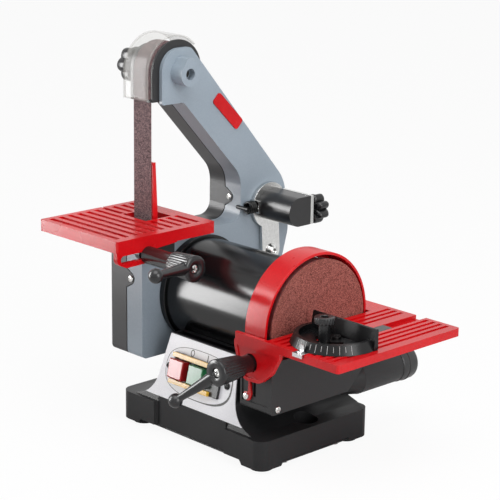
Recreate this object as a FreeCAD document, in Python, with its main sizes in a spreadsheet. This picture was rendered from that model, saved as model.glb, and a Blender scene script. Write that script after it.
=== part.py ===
import FreeCAD, Part
import math
import os
import re
import Sketcher
from FreeCAD import Placement, Rotation, Vector

# Combined belt and disc grinder. X runs along the motor shaft towards the disc, the operator
# stands on the -Y side, +Z is up. The origin is the middle of the base, on the bench.

# Driving dimensions in millimetres.
SIZES = {
    # base and pedestal
    "base_length": 204, "base_depth": 150, "base_top": 33, "base_floor": 4, "base_wall": 4,
    "base_corner": 12, "front_step": 4, "front_block": 51, "front_top": 38,
    "foot_radius": 11, "foot_inset": 17, "foot_plug": 5,
    "bench_hole_x": 84, "plate_screw_y": 35, "bench_hole_y": 2.5, "bench_hole_radius": 4.5, "bench_pocket": 12,
    "bench_stem_foot": 1, "leg_length": 26, "leg_slant": 4, "arch_rise": 4.5,
    "flare_foot": 84, "flare_knee": 58, "flare_knee_z": 42, "flare_top": 48.5, "flare_round": 30,
    "pedestal_front": -70.3, "pedestal_front_top": -53.4, "pedestal_back": 76,
    "pedestal_back_top": 63, "pedestal_top": 101, "label_thick": 1,
    "plate_thick": 1.5, "screw_head": 3.3, "screw_shank": 2, "screw_rise": 2.2,
    # motor
    "axis_height": 132, "axis_y": 5, "motor_radius": 52, "motor_wall": 2.5, "motor_rear": -72,
    "flange_thick": 7, "flange_proud": 2.5, "shell_front": 52, "motor_front": 66,
    "shaft_radius": 7, "bearing_radius": 16, "bearing_width": 10, "stator_rear": -38,
    "stator_front": 32, "stator_bore": 30, "air_gap": 0.5, "fit": 0.05, "gap": 0.3,
    # disc end
    "disc_face": 95, "disc_radius": 62.5, "paper_thick": 1.2, "disc_plate_thick": 8,
    "guard_gap": 3.5, "guard_wall": 2.8, "guard_front": 93, "back_plate_thick": 2.5,
    "box_rear": 60, "box_front": 102, "box_wall": 3, "box_side_room": 5.5, "box_floor": 57,
    "box_front_top": 109, "box_side_top": 128.5, "box_corner_cut": 31,
    "port_x": 84, "port_z": 61, "port_radius": 17.5, "port_wall": 2, "port_end": 146,
    "port_ring": 22, "recess": 1,
    # disc table and its lock
    "disc_table_top": 131, "disc_table_thick": 8, "disc_table_end": 191, "disc_table_front": -69.3,
    "disc_table_back": 98.4, "disc_table_gap": 3, "disc_table_start": 57.7, "guard_room": 1,
    "slot_x": 142.6, "slot_width": 12.6, "slot_depth": 4, "quadrant_thick": 5,
    "tilt_pin_x": 92, "tilt_pin_z": 122.5, "tilt_pin_radius": 3, "disc_lock_x": 78.6,
    "disc_lock_z": 105, "lock_hole": 9, "disc_neck": 18,
    # clamping levers
    "neck_radius": 8.5, "hub_root": 10.5, "hub_radius": 12.8, "hub_length": 31,
    "lever_length": 60, "lever_root": 5.5, "lever_tip": 4, "ball_radius": 7, "stud_radius": 2.5,
    # arm
    "frame_face": -72, "belt_width": 25.4, "side_room": 10.8, "arm_wall": 4, "rim_wall": 3, "belt_thick": 1,
    "belt_length": 762, "drive_radius": 55, "top_radius": 27, "rear_radius": 19.5,
    "rear_wheel_y": 98, "rear_wheel_z": 203, "head_radius": 24, "arm_front_room": 22,
    "arm_floor_room": 6.3, "arm_rake": 1.078, "back_rake": 1.145, "heel_y": 122, "heel_z": 143,
    "throat_floor": 191.5, "throat_back": 60.5, "arm_back": 130, "arm_back_drop": 31,
    "boss_radius": 12, "boss_length": 15.5, "boss_bore": 5.6, "axle_radius": 5, "knob_radius": 18,
    "ear_half": 9, "ear_reach": 17, "ear_gap": 1.1, "seam_half": 0.6, "ear_front_z": 151, "ear_back_z": 214,
    "platen_thick": 3, "platen_edge": 2, "platen_top": 266, "platen_foot": 162,
    "hood_radius": 36.4, "hood_wall": 1.5, "hood_flange": 2.2, "hood_drop": 26, "bracket_thick": 2.4,
    "badge_y": 40.5, "badge_z": 308, "badge_length": 46, "badge_width": 13, "badge_thick": 1.2,
    # belt tension
    "lever_pivot_y": 101, "lever_pivot_z": 154, "lever_thick": 4, "lever_width": 25,
    "lever_head": 24, "rear_axle_radius": 5, "pull_radius": 15, "pull_length": 46,
    "pull_back": 111.5, "flange_depth": 4, "tracking_x": -30, "spring_radius": 5.4,
    "spring_wire": 1.3, "spring_pin_radius": 2, "star_radius": 15.5, "release_travel": 6,
    # belt table
    "belt_table_left": -149.8, "belt_table_right": -31.8, "belt_table_front": -136.5,
    "belt_table_back": -12.3, "belt_table_top": 210.5, "belt_table_thick": 11.5,
    "opening_front": -63, "opening_back": -30, "opening_room": 4,
    "belt_lock_y": -99, "belt_lock_z": 192, "slot_height": 7.4, "slide_travel": 26,
    "belt_plate_thick": 5, "belt_neck": 37,
    # switch, on the sloping front
    "switch_z": 70.5, "switch_left": -35, "switch_right": 33, "switch_height": 31,
    "switch_depth": 24, "bezel": 3, "rail_height": 4.5, "rail_right": 22, "off_x": -22.5, "on_x": 5.5,
    "button_height": 19, "button_width": 20.5, "button_proud": 8,
    "switch_screw_x": 41.5,
    # mitre gauge
    "mitre_y": -22, "mitre_radius": 42, "mitre_bar_front": -72, "mitre_bar_back": 50,
    "mitre_plate": 3.5, "mitre_rim": 9, "fence_left": 38, "fence_right": 42, "fence_height": 20,
    "fence_thick": 6, "mitre_knob_reach": 15, "mitre_knob_radius": 9.6, "mitre_swing": 60,
}

DOC = FreeCAD.newDocument("belt_grinder")
SHEET = DOC.addObject("Spreadsheet::Sheet", "size")
PARTS = []
TURN = {"x": Rotation(Vector(0, 1, 0), 90), "y": Rotation(Vector(1, 0, 0), -90), "z": Rotation()}
WORD = re.compile(r"[a-z_]+")


def loop_length(top_height):
    """Length of the belt around drive, rear and top wheels when the top wheel is that high."""
    lift = SIZES["gap"] + SIZES["belt_thick"] / 2
    top_y = SIZES["axis_y"] - SIZES["drive_radius"] + SIZES["top_radius"]
    wheels = [(SIZES["axis_y"], SIZES["axis_height"], SIZES["drive_radius"] + lift),
              (SIZES["rear_wheel_y"], SIZES["rear_wheel_z"], SIZES["rear_radius"] + lift),
              (top_y, top_height, SIZES["top_radius"] + lift)]
    return sum(run for run, _ in belt_runs(wheels)) + sum(
        wheel[2] * wrap for wheel, wrap in zip(wheels, belt_wraps(wheels)))


def belt_runs(wheels):
    """Straight runs between wheels taken anticlockwise: length and direction of the outer side."""
    runs = []
    for (y1, z1, first), (y2, z2, second) in zip(wheels, wheels[1:] + wheels[:1]):
        apart = math.hypot(y2 - y1, z2 - z1)
        side = math.atan2(z2 - z1, y2 - y1) - math.acos((first - second) / apart)
        runs.append((math.sqrt(apart ** 2 - (first - second) ** 2), side))
    return runs


def belt_wraps(wheels):
    """Angle of belt on each wheel."""
    sides = [side for _, side in belt_runs(wheels)]
    return [(sides[turn] - sides[turn - 1]) % (2 * math.pi) for turn in range(len(wheels))]


def solve_top_wheel():
    """Height of the top wheel that takes up the whole belt."""
    low, high = SIZES["rear_wheel_z"], SIZES["rear_wheel_z"] + SIZES["belt_length"]
    while high - low > 1e-6:
        middle = (low + high) / 2
        if loop_length(middle) < SIZES["belt_length"]:
            low = middle
        else:
            high = middle
    return round(low, 4)


# Sizes that follow from the driving ones, as formulas of the sheet.
DERIVED = {
    "belt_x": "frame_face - side_room - belt_width / 2",
    "cover_face": "frame_face - 2 * side_room - belt_width",
    "wheel_half": "belt_width / 2 + 0.4",
    "top_wheel_y": "axis_y - drive_radius + top_radius",
    "belt_front": "axis_y - drive_radius - gap - belt_thick",
    "arm_front": "axis_y - drive_radius - arm_front_room",
    "arm_floor": "axis_height - drive_radius - arm_floor_room",
    "plate_rear": "disc_face - paper_thick - disc_plate_thick",
    "guard_inner": "disc_radius + guard_gap",
    "guard_outer": "disc_radius + guard_gap + guard_wall",
    "box_left": "axis_y - disc_radius - box_side_room",
    "box_right": "axis_y + disc_radius + box_side_room",
    "plate_radius": "disc_radius - 2.5",
    "disc_table_floor": "disc_table_top - disc_table_thick",
    "table_edge": "disc_face + disc_table_gap",
    "belt_table_floor": "belt_table_top - belt_table_thick",
    "lever_face": "frame_face + 0.7",
    "pull_left": "rear_wheel_y - 17.5",
    "pull_end": "frame_face + 4.7 + pull_length",
    "hood_right": "frame_face - arm_wall - 2 * gap - bracket_thick",
    "hood_left": "cover_face + arm_wall + gap",
    "front_slope": "(pedestal_front_top - pedestal_front) / (pedestal_top - base_top)",
    "back_slope": "(pedestal_back_top - pedestal_back) / (pedestal_top - base_top)",
    "switch_y": "pedestal_front + front_slope * (switch_z - base_top)",
    "head_floor": "top_wheel_z - 30",
    "head_left": "top_wheel_y - 23",
    "head_top": "top_wheel_z + head_radius",
    "head_right": "top_wheel_y + 14",
    "throat_lip": "top_wheel_y + 5",
    "throat_knee": "head_floor - arm_rake * (throat_back - throat_lip)",
    "shoulder_y": "rear_wheel_y + 25.4",
    "shoulder_z": "head_top - back_rake * (shoulder_y - head_right)",
    "toe_y": "axis_y + drive_radius + 6",
    "platen_face": "belt_front + belt_thick + gap",
    "guard_floor": "box_side_top + 0.5",
    "cutout_front": "axis_y - guard_outer - guard_room",
    "cutout_back": "axis_y + guard_outer + guard_room",
    "ear_x": "belt_x + 7",
    "spring_seat_y": "rear_wheel_y - lever_head - 12.5",
}


def fill_sheet():
    """Writes the driving and the derived sizes into the spreadsheet."""
    SIZES["top_wheel_z"] = solve_top_wheel()
    for row, (word, size) in enumerate(SIZES.items(), 1):
        SHEET.set(f"A{row}", word)
        SHEET.set(f"B{row}", str(size))
        SHEET.setAlias(f"B{row}", word)
    for row, (word, text) in enumerate(DERIVED.items(), len(SIZES) + 1):
        SHEET.set(f"A{row}", word)
        SHEET.set(f"B{row}", "=" + text)
        SHEET.setAlias(f"B{row}", word)
    DOC.recompute()


def formula(text):
    """The same formula with every size looked up in the sheet."""
    return WORD.sub(lambda hit: "size." + hit.group() if hit.group() in SIZES or hit.group() in DERIVED
                    else hit.group(), str(text))


def number(text):
    """What a formula comes to now."""
    return float(SHEET.evalExpression(formula(text)))


def bind(item, field, text):
    item.setExpression(field, formula(text))


def box(label, x, y, z):
    """Block between pairs of formulas."""
    item = DOC.addObject("Part::Box", label)
    for axis, side, (low, high) in zip("xyz", ("Length", "Width", "Height"), (x, y, z)):
        bind(item, side, f"({high}) - ({low})")
        bind(item, f"Placement.Base.{axis}", low)
    return item


def rod(label, axis, centre, span, radius, end_radius=None):
    """Cylinder, or cone with an end radius, along an axis; centre holds the other two coordinates."""
    kind = "Part::Cylinder" if end_radius is None else "Part::Cone"
    item = DOC.addObject(kind, label)
    item.Placement.Rotation = TURN[axis]
    low, high = span
    bind(item, "Height", f"({high}) - ({low})")
    if end_radius is None:
        bind(item, "Radius", radius)
    else:
        bind(item, "Radius1", radius)
        bind(item, "Radius2", end_radius)
    for other, place in zip([a for a in "xyz" if a != axis], centre):
        bind(item, f"Placement.Base.{other}", place)
    bind(item, f"Placement.Base.{axis}", low)
    return item


def fuse(label, *items):
    item = DOC.addObject("Part::MultiFuse", label)
    item.Shapes = list(items)
    item.Refine = True
    return item


def cut(label, base, *tools):
    item = DOC.addObject("Part::Cut", label)
    item.Base = base
    item.Tool = tools[0] if len(tools) == 1 else fuse(label + "_tools", *tools)
    item.Refine = True
    return item


def common(label, *items):
    item = DOC.addObject("Part::MultiCommon", label)
    item.Shapes = list(items)
    return item


def group(label, *items):
    """Several equal pieces in one node."""
    item = DOC.addObject("Part::Compound", label)
    item.Links = list(items)
    return item


def ring(label, axis, centre, span, radius, bore):
    return cut(label, rod(label + "_outer", axis, centre, span, radius),
               rod(label + "_bore", axis, centre, span, bore))


def prism(label, plane, corners, low, high):
    """Pad of a closed outline. A corner is (u, v) or (u, v, rounding), all formulas."""
    body = DOC.addObject("PartDesign::Body", label)
    sketch = body.newObject("Sketcher::SketchObject", label + "_sketch")
    origin_plane = next(face for face in body.Origin.OriginFeatures if face.Role == plane + "_Plane")
    sketch.AttachmentSupport = [(origin_plane, "")]
    sketch.MapMode = "FlatFace"
    bind(sketch, "AttachmentOffset.Base.z", f"-({high})" if plane == "XZ" else low)
    draw(sketch, corners)
    pad = body.newObject("PartDesign::Pad", label + "_pad")
    pad.Profile = sketch
    bind(pad, "Length", f"({high}) - ({low})")
    DOC.recompute()
    round_corners(body, plane, corners, pad)
    return body


def draw(sketch, corners):
    """Closed run of straight lines, each corner held at its two formulas."""
    spots = [Vector(number(corner[0]), number(corner[1]), 0) for corner in corners]
    count = len(corners)
    for turn in range(count):
        sketch.addGeometry(Part.LineSegment(spots[turn], spots[(turn + 1) % count]), False)
    for turn, corner in enumerate(corners):
        sketch.addConstraint(Sketcher.Constraint("Coincident", turn, 1, (turn - 1) % count, 2))
        for kind, place, text in zip(("DistanceX", "DistanceY"), spots[turn], corner):
            held = sketch.addConstraint(Sketcher.Constraint(kind, turn, 1, place))
            bind(sketch, f"Constraints[{held}]", text)


def round_corners(body, plane, corners, feature):
    """Rounds the pad's upright edges at the corners that carry a radius."""
    across = {"XY": "xy", "XZ": "xz", "YZ": "yz"}[plane]
    radii = {}
    for corner in corners:
        if len(corner) == 3:
            radii.setdefault(corner[2], []).append((number(corner[0]), number(corner[1])))
    for radius, spots in radii.items():
        edges = []
        for turn, edge in enumerate(feature.Shape.Edges, 1):
            ends = [[getattr(end.Point, axis) for axis in across] for end in edge.Vertexes]
            if len(ends) == 2 and any(math.dist(ends[0], spot) < 1e-4 and math.dist(ends[1], spot) < 1e-4
                                      for spot in spots):
                edges.append(f"Edge{turn}")
        fillet = body.newObject("PartDesign::Fillet", f"{body.Label}_round")
        fillet.Base = (feature, edges)
        bind(fillet, "Radius", radius)
        DOC.recompute()
        feature = fillet


def keep(item):
    """Counts an object as one sub-part of the machine."""
    PARTS.append(item)
    return item


def screw(label, axis, centre, face, length, heads_up=True):
    """Pan-head screw: its head stands on the face and its shank goes the other way."""
    near, far = (face, f"{face} + screw_rise") if heads_up else (f"{face} - screw_rise", face)
    low, high = (f"{face} - {length}", face) if heads_up else (face, f"{face} + {length}")
    return fuse(label, rod(label + "_head", axis, centre, (near, far), "screw_head"),
                rod(label + "_shank", axis, centre, (low, high), "screw_shank"))


def shank_hole(label, axis, centre, span):
    return rod(label, axis, centre, span, "screw_shank")


def star_knob(label, axis, centre, span, lobes, radius):
    """Lobed hand knob; the lobes stop short of both end faces."""
    low, high = span
    core = rod(label + "_core", axis, centre, span, f"{radius} * 0.78")
    pieces = [core]
    for turn in range(lobes):
        angle = 2 * math.pi * turn / lobes
        spot = [f"{place} + {radius} * 0.74 * {step:.6f}"
                for place, step in zip(centre, (math.cos(angle), math.sin(angle)))]
        pieces.append(rod(f"{label}_lobe{turn}", axis, spot, (f"{low} + 1", f"{high} - 1"), f"{radius} * 0.26"))
    return fuse(label, *pieces)


def arc_slot(label, axis, centre, span, radius, half_width, angles, radial):
    """Tool for a curved slot: two round ends and the stretch of ring between them."""
    across = [a for a in "xyz" if a != axis]
    pieces = []
    spots = []
    for turn, angle in enumerate(angles):
        reach = (math.cos(math.radians(angle)), math.sin(math.radians(angle)))
        spots.append(reach)
        spot = [f"{place} + {radius} * {step:.6f}" for place, step in zip(centre, reach)]
        pieces.append(rod(f"{label}_end{turn}", axis, spot, span, half_width))
    band = ring(label + "_band", axis, centre, span, f"{radius} + {half_width}", f"{radius} - {half_width}")
    middle = math.radians(sum(angles) / 2)
    spots.insert(1, (1.5 * math.cos(middle), 1.5 * math.sin(middle)))
    fan = [centre] + [(f"{centre[0]} + {radial} * {u:.6f}", f"{centre[1]} + {radial} * {v:.6f}") for u, v in spots]
    wedge = prism(label + "_wedge", "".join(across).upper(), fan, *span)
    return fuse(label, *pieces, common(label + "_part", band, wedge))


def on_front(item, x="0"):
    """Stands a piece that was made about its own origin on the sloping front of the pedestal."""
    if item.TypeId in ("Part::Box", "Part::Cylinder"):
        item = group(item.Label + "_stood", item)
    lean = math.degrees(math.atan(number("front_slope")))
    item.Placement.Rotation = Rotation(Vector(1, 0, 0), -lean)
    bind(item, "Placement.Base.x", x)
    bind(item, "Placement.Base.y", "switch_y")
    bind(item, "Placement.Base.z", "switch_z")
    return item


def corners_of_base():
    return [(f"{side} * (base_length / 2 - foot_inset)", f"{end} * (base_depth / 2 - foot_inset)")
            for side in (-1, 1) for end in (-1, 1)]


def flare(label, shrink, floor, ceiling):
    """Pedestal seen from the front: wide at the foot, waisted above."""
    return prism(label, "XZ", [
        (f"-flare_foot + {shrink}", floor), (f"-flare_knee + {shrink}", "flare_knee_z", "flare_round"),
        (f"-flare_top + {shrink}", ceiling), (f"flare_top - {shrink}", ceiling),
        (f"flare_knee - {shrink}", "flare_knee_z", "flare_round"), (f"flare_foot - {shrink}", floor),
    ], "-base_depth", "base_depth")


def slope(label, shrink, floor, ceiling):
    """Pedestal seen from the side: front and back lean in."""
    front = f"pedestal_front + {shrink} + front_slope"
    back = f"pedestal_back - {shrink} + back_slope"
    return prism(label, "YZ", [
        (f"{front} * ({floor} - base_top)", floor), (f"{back} * ({floor} - base_top)", floor),
        (f"{back} * ({ceiling} - base_top)", ceiling), (f"{front} * ({ceiling} - base_top)", ceiling),
    ], "-base_length", "base_length")


def skirt_arches():
    """Tools that raise the foot of each wall between the corner legs."""
    tools = []
    for plane, along, across in (("XZ", "base_length / 2", "base_depth / 2"),
                                 ("YZ", "base_depth / 2", "base_length / 2")):
        outline = [(f"-{along} + leg_length", "base_floor - 1"),
                   (f"-{along} + leg_length + leg_slant", "base_floor + arch_rise"),
                   (f"{along} - leg_length - leg_slant", "base_floor + arch_rise"),
                   (f"{along} - leg_length", "base_floor - 1")]
        reach = "base_wall + front_step" if plane == "XZ" else "base_wall"
        tools.append(prism(f"arch_{plane}_near", plane, outline, f"-{across} - 1", f"-{across} + {reach}"))
        tools.append(prism(f"arch_{plane}_far", plane, outline, f"{across} - base_wall", f"{across} + 1"))
    return tools


def base_casting():
    half, deep = "base_length / 2", "base_depth / 2"
    step = f"-{deep} + front_step"
    plinth = prism("plinth", "XY", [
        (f"-{half}", f"-{deep}", "base_corner"), ("-front_block", f"-{deep}"), ("-front_block + 2", step),
        ("front_block - 2", step), ("front_block", f"-{deep}"), (half, f"-{deep}", "base_corner"),
        (half, deep, "base_corner"), (f"-{half}", deep, "base_corner")], "base_floor", "base_top")
    pedestal = common("pedestal", flare("pedestal_flare", "0", "base_top", "pedestal_top"),
                      slope("pedestal_slope", "0", "base_top", "pedestal_top"))
    lip = box("front_lip", ("-front_block + 2", "front_block - 2"), (step, "pedestal_front + 4"),
              ("base_top - 1", "front_top"))
    inside = box("plinth_inside", (f"-{half} + base_wall", f"{half} - base_wall"),
                 (f"{step} + base_wall", f"{deep} - base_wall"), ("base_floor - 1", "base_top - base_wall"))
    hollow = cut("pedestal_hollow",
                 common("pedestal_inside", flare("hollow_flare", "base_wall", "base_top - base_wall - 1",
                                                 "pedestal_top + 1"),
                        slope("hollow_slope", "base_wall", "base_top - base_wall - 1", "pedestal_top + 1")),
                 rod("cradle_wall", "x", ("axis_y", "axis_height"), ("-base_length", "base_length"),
                     "motor_radius + gap + base_wall"))
    shell = cut("base_shell", fuse("base_solid", plinth, pedestal, lip), inside, hollow)
    posts = [rod(f"foot_post{turn}", "z", spot, ("base_floor + plate_thick", "base_top - 1"), "foot_plug + 3")
             for turn, spot in enumerate(corners_of_base())]
    posts += [rod(f"bench_boss{side}", "z", (f"{side} * bench_hole_x", "bench_hole_y"),
                  ("base_floor + plate_thick", "base_top"), "bench_pocket + 2.5") for side in (-1, 1)]
    posts += [rod(f"bench_stem{side}", "z", (f"{side} * bench_hole_x", "bench_hole_y"),
                  ("bench_stem_foot", "base_floor + plate_thick + 1"), "bench_hole_radius + 4") for side in (-1, 1)]
    posts += [rod(f"plate_post{side}{end}", "z", (f"{side} * (base_length / 2 - 10)", f"{end} * plate_screw_y"),
                  ("base_floor + plate_thick", "base_top - 1"), "5") for side in (-1, 1) for end in (-1, 1)]
    tools = [rod("motor_seat", "x", ("axis_y", "axis_height"), ("-base_length", "base_length"),
                 "motor_radius + gap")] + skirt_arches()
    tools += [rod(f"plug_hole{turn}", "z", spot, ("0", "base_floor + 12"), "foot_plug + 0.05")
              for turn, spot in enumerate(corners_of_base())]
    for side in (-1, 1):
        place = (f"{side} * bench_hole_x", "bench_hole_y")
        tools.append(rod(f"bench_hole{side}", "z", place, ("0", "base_top"), "bench_hole_radius"))
        tools.append(rod(f"bench_recess{side}", "z", place, ("base_floor + 8", "pedestal_top"), "bench_pocket"))
        tools.append(on_front(rod(f"switch_hole{side}", "y", ("0", "0"), ("-3", "9"), "screw_shank + 0.05"),
                              f"{side} * switch_screw_x"))
        tools += [rod(f"plate_hole{side}{end}", "z", (f"{side} * (base_length / 2 - 10)", f"{end} * plate_screw_y"),
                      ("0", "base_floor + 10"), "screw_shank + 0.05") for end in (-1, 1)]
        tools.append(rod(f"seat_hole{side}", "z", (f"{side} * 28", "axis_y"),
                         ("base_top", "axis_height"), "screw_shank + 1.05"))
    tools.append(on_front(box("switch_opening", ("switch_left + 0.6", "switch_right - 4.6"),
                              ("-6", "12"), ("-switch_height / 2 + 2.6", "switch_height / 2 - 2.6"))))
    tools.append(rod("gland_hole", "y", ("-60", "base_top / 2 + 2"), (f"{deep} - 8", f"{deep} + 2"), "6.05"))
    return keep(cut("base_casting", fuse("base_with_posts", shell, *posts), *tools))


def base_fittings():
    feet = []
    for turn, spot in enumerate(corners_of_base()):
        feet.append(fuse(f"foot{turn}", rod(f"foot_pad{turn}", "z", spot, ("0", "base_floor - 0.1"), "foot_radius"),
                         rod(f"foot_stem{turn}", "z", spot, ("base_floor - 0.2", "base_floor + 10"), "foot_plug")))
    keep(group("rubber_feet", *feet))
    half, deep = "base_length / 2 - base_wall - gap", "base_depth / 2 - base_wall - gap"
    sheet = box("plate_blank", (f"-({half})", half), (f"-({deep}) + front_step", deep),
                ("base_floor", "base_floor + plate_thick"))
    holes = [rod(f"plate_plug{turn}", "z", spot, ("0", "base_top"), "foot_plug + 0.1")
             for turn, spot in enumerate(corners_of_base())]
    screws = []
    for side in (-1, 1):
        holes.append(rod(f"plate_bench{side}", "z", (f"{side} * bench_hole_x", "bench_hole_y"),
                         ("0", "base_top"), "bench_hole_radius + 4 + gap"))
        for end in (-1, 1):
            spot = (f"{side} * (base_length / 2 - 10)", f"{end} * plate_screw_y")
            holes.append(rod(f"plate_bore{side}{end}", "z", spot, ("0", "base_top"), "screw_shank + 0.1"))
            screws.append(screw(f"plate_screw{side}{end}", "z", spot, "base_floor", 8, heads_up=False))
    keep(cut("bottom_plate", sheet, *holes))
    can = rod("capacitor", "x", ("30", "base_floor + plate_thick + 15.3"), ("-30", "30"), "15")
    keep(can)
    gland = fuse("gland_solid",
                 rod("gland_body", "y", ("-60", "base_top / 2 + 2"),
                     ("base_depth / 2 - base_wall - 2", "base_depth / 2 + 1"), "6"),
                 rod("gland_cap", "y", ("-60", "base_top / 2 + 2"),
                     ("base_depth / 2 + 0.1", "base_depth / 2 + 9"), "8.5", "6.5"))
    keep(cut("cable_gland", gland, rod("gland_bore", "y", ("-60", "base_top / 2 + 2"),
                                       ("base_depth / 2 - 9", "base_depth / 2 + 12"), "3.5")))
    return screws


def front_label():
    """Thin printed plate that covers the sloping front."""
    low, high = "front_top + 0.4", "pedestal_top - 0.4"
    face = "pedestal_front - 0.03 + front_slope"
    skin = prism("label_skin", "YZ", [
        (f"{face} * ({low} - base_top) - label_thick", low), (f"{face} * ({low} - base_top)", low),
        (f"{face} * ({high} - base_top)", high), (f"{face} * ({high} - base_top) - label_thick", high),
    ], "-base_length", "base_length")
    blank = common("label_blank", flare("label_flare", "0.5", "base_top", "pedestal_top"), skin)
    tools = [on_front(box("label_opening", ("switch_left + 0.6", "switch_right - 4.6"),
                          ("-6", "12"), ("-switch_height / 2 + 2.6", "switch_height / 2 - 2.6")))]
    tools += [on_front(rod(f"label_hole{side}", "y", ("0", "0"), ("-3", "9"), "screw_shank + 0.05"),
                       f"{side} * switch_screw_x") for side in (-1, 1)]
    keep(cut("front_label", blank, *tools))


def switch():
    front = "-label_thick - 0.1 - bezel"
    shell = fuse("switch_solid",
                 box("switch_bezel", ("switch_left", "switch_right"), (front, "-label_thick - 0.1"),
                     ("-switch_height / 2", "switch_height / 2")),
                 box("switch_barrel", ("switch_left + 1", "switch_right - 5"), (front, "switch_depth"),
                     ("-switch_height / 2 + 3", "switch_height / 2 - 3")))
    windows = []
    for name, place in (("off", "off_x"), ("on", "on_x")):
        windows.append(box(f"{name}_window",
                           (f"{place} - button_width / 2 - 0.4", f"{place} + button_width / 2 + 0.4"),
                           (f"{front} - 1", "10"), ("-button_height / 2 - 0.4", "button_height / 2 + 0.4")))
        key = box(f"{name}_key", ("-button_width / 2", "button_width / 2"),
                  (f"{front} - button_proud", "5"), ("-button_height / 2", "button_height / 2"))
        rounded = DOC.addObject("Part::Fillet", f"{name}_button")
        rounded.Base = key
        DOC.recompute()
        rounded.Edges = [(turn, 1.2, 1.2) for turn, edge in enumerate(key.Shape.Edges, 1)
                         if edge.CenterOfMass.y < -8]
        keep(on_front(rounded, place))
    keep(on_front(cut("switch_body", shell, *windows)))
    rails = [box(f"rail{side}", ("switch_left + 1", "rail_right"), (f"{front} - 3.5", front),
                 (f"{side} * (switch_height / 2 - rail_height / 2) - rail_height / 2",
                  f"{side} * (switch_height / 2 - rail_height / 2) + rail_height / 2")) for side in (-1, 1)]
    keep(on_front(group("switch_rails", *rails)))
    screws = [screw(f"switch_screw{side}", "y", (f"{side} * switch_screw_x", "0"), "-label_thick - 0.1", 8,
                    heads_up=False) for side in (-1, 1)]
    keep(on_front(group("switch_screws", *screws)))


def motor():
    centre = ("axis_y", "axis_height")
    shell = ring("shell_ring", "x", centre, ("motor_rear + flange_thick", "shell_front"),
                 "motor_radius", "motor_radius - motor_wall")
    bolts, holes = [], []
    for side in (-1, 1):
        spot = (f"{side} * 28", "axis_y")
        holes.append(rod(f"shell_hole{side}", "z", spot, ("axis_height - motor_radius - 5",
                                                         "axis_height - motor_radius + 10"), "screw_shank + 1.05"))
        under = "axis_height - motor_radius - gap - base_wall"
        bolts.append(fuse(f"seat_bolt{side}",
                          rod(f"seat_bolt_head{side}", "z", spot, (f"{under} - 4", f"{under} - 0.4"), "5.5"),
                          rod(f"seat_bolt_shank{side}", "z", spot,
                              (f"{under} - 1", "axis_height - motor_radius + motor_wall"), "screw_shank + 1")))
    keep(cut("motor_shell", shell, *holes))
    spigot = "motor_radius - motor_wall - 0.2"
    rear = fuse("rear_bell_solid",
                rod("rear_flange", "x", centre, ("motor_rear", "motor_rear + flange_thick"),
                    "motor_radius + flange_proud"),
                rod("rear_spigot", "x", centre, ("motor_rear", "motor_rear + flange_thick + 4"), spigot),
                rod("rear_hub", "x", centre, ("motor_rear", "motor_rear + bearing_width + 4"),
                    "bearing_radius + 4"))
    keep(cut("rear_bell", rear,
             rod("rear_bore", "x", centre, ("motor_rear - 1", "motor_rear + 30"), "shaft_radius + 2"),
             rod("rear_seat", "x", centre, ("motor_rear + 3", "motor_rear + 30"), "bearing_radius + fit")))
    front = fuse("front_bell_solid",
                 rod("front_drum", "x", centre, ("shell_front", "motor_front"), "motor_radius"),
                 rod("front_spigot", "x", centre, ("shell_front - 4", "motor_front"), spigot),
                 rod("front_hub", "x", centre, ("shell_front - 4", "motor_front"), "bearing_radius + 4"))
    keep(cut("front_bell", front,
             rod("front_bore", "x", centre, ("shell_front - 9", "motor_front + 1"), "shaft_radius + 2"),
             rod("front_seat", "x", centre, ("shell_front - 9", "shell_front - 4 + bearing_width"),
                 "bearing_radius + fit")))
    core = fuse("stator_solid",
                rod("stator_core", "x", centre, ("stator_rear", "stator_front"), spigot),
                rod("stator_coils", "x", centre, ("stator_rear - 9", "stator_front + 9"), "motor_radius - 9"))
    keep(cut("stator", core, rod("stator_hole", "x", centre, ("stator_rear - 20", "stator_front + 20"),
                                 "stator_bore")))
    keep(ring("rotor_core", "x", centre, ("stator_rear", "stator_front"), "stator_bore - air_gap",
              "shaft_radius"))
    keep(rod("motor_shaft", "x", centre, ("belt_x - wheel_half - 6", "plate_rear - 0.3"), "shaft_radius"))
    spans = [("motor_rear + 3", "motor_rear + 3 + bearing_width"),
             ("shell_front - 4", "shell_front - 4 + bearing_width")]
    keep(group("motor_bearings", *[ring(f"motor_bearing{turn}", "x", centre, span, "bearing_radius",
                                        "shaft_radius + fit") for turn, span in enumerate(spans)]))
    fixings = []
    for turn in range(3):
        angle = math.radians(90 + 120 * turn)
        spot = (f"axis_y + 42 * {math.cos(angle):.6f}", f"axis_height + 42 * {math.sin(angle):.6f}")
        fixings.append(spot)
    return fixings, bolts


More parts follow.
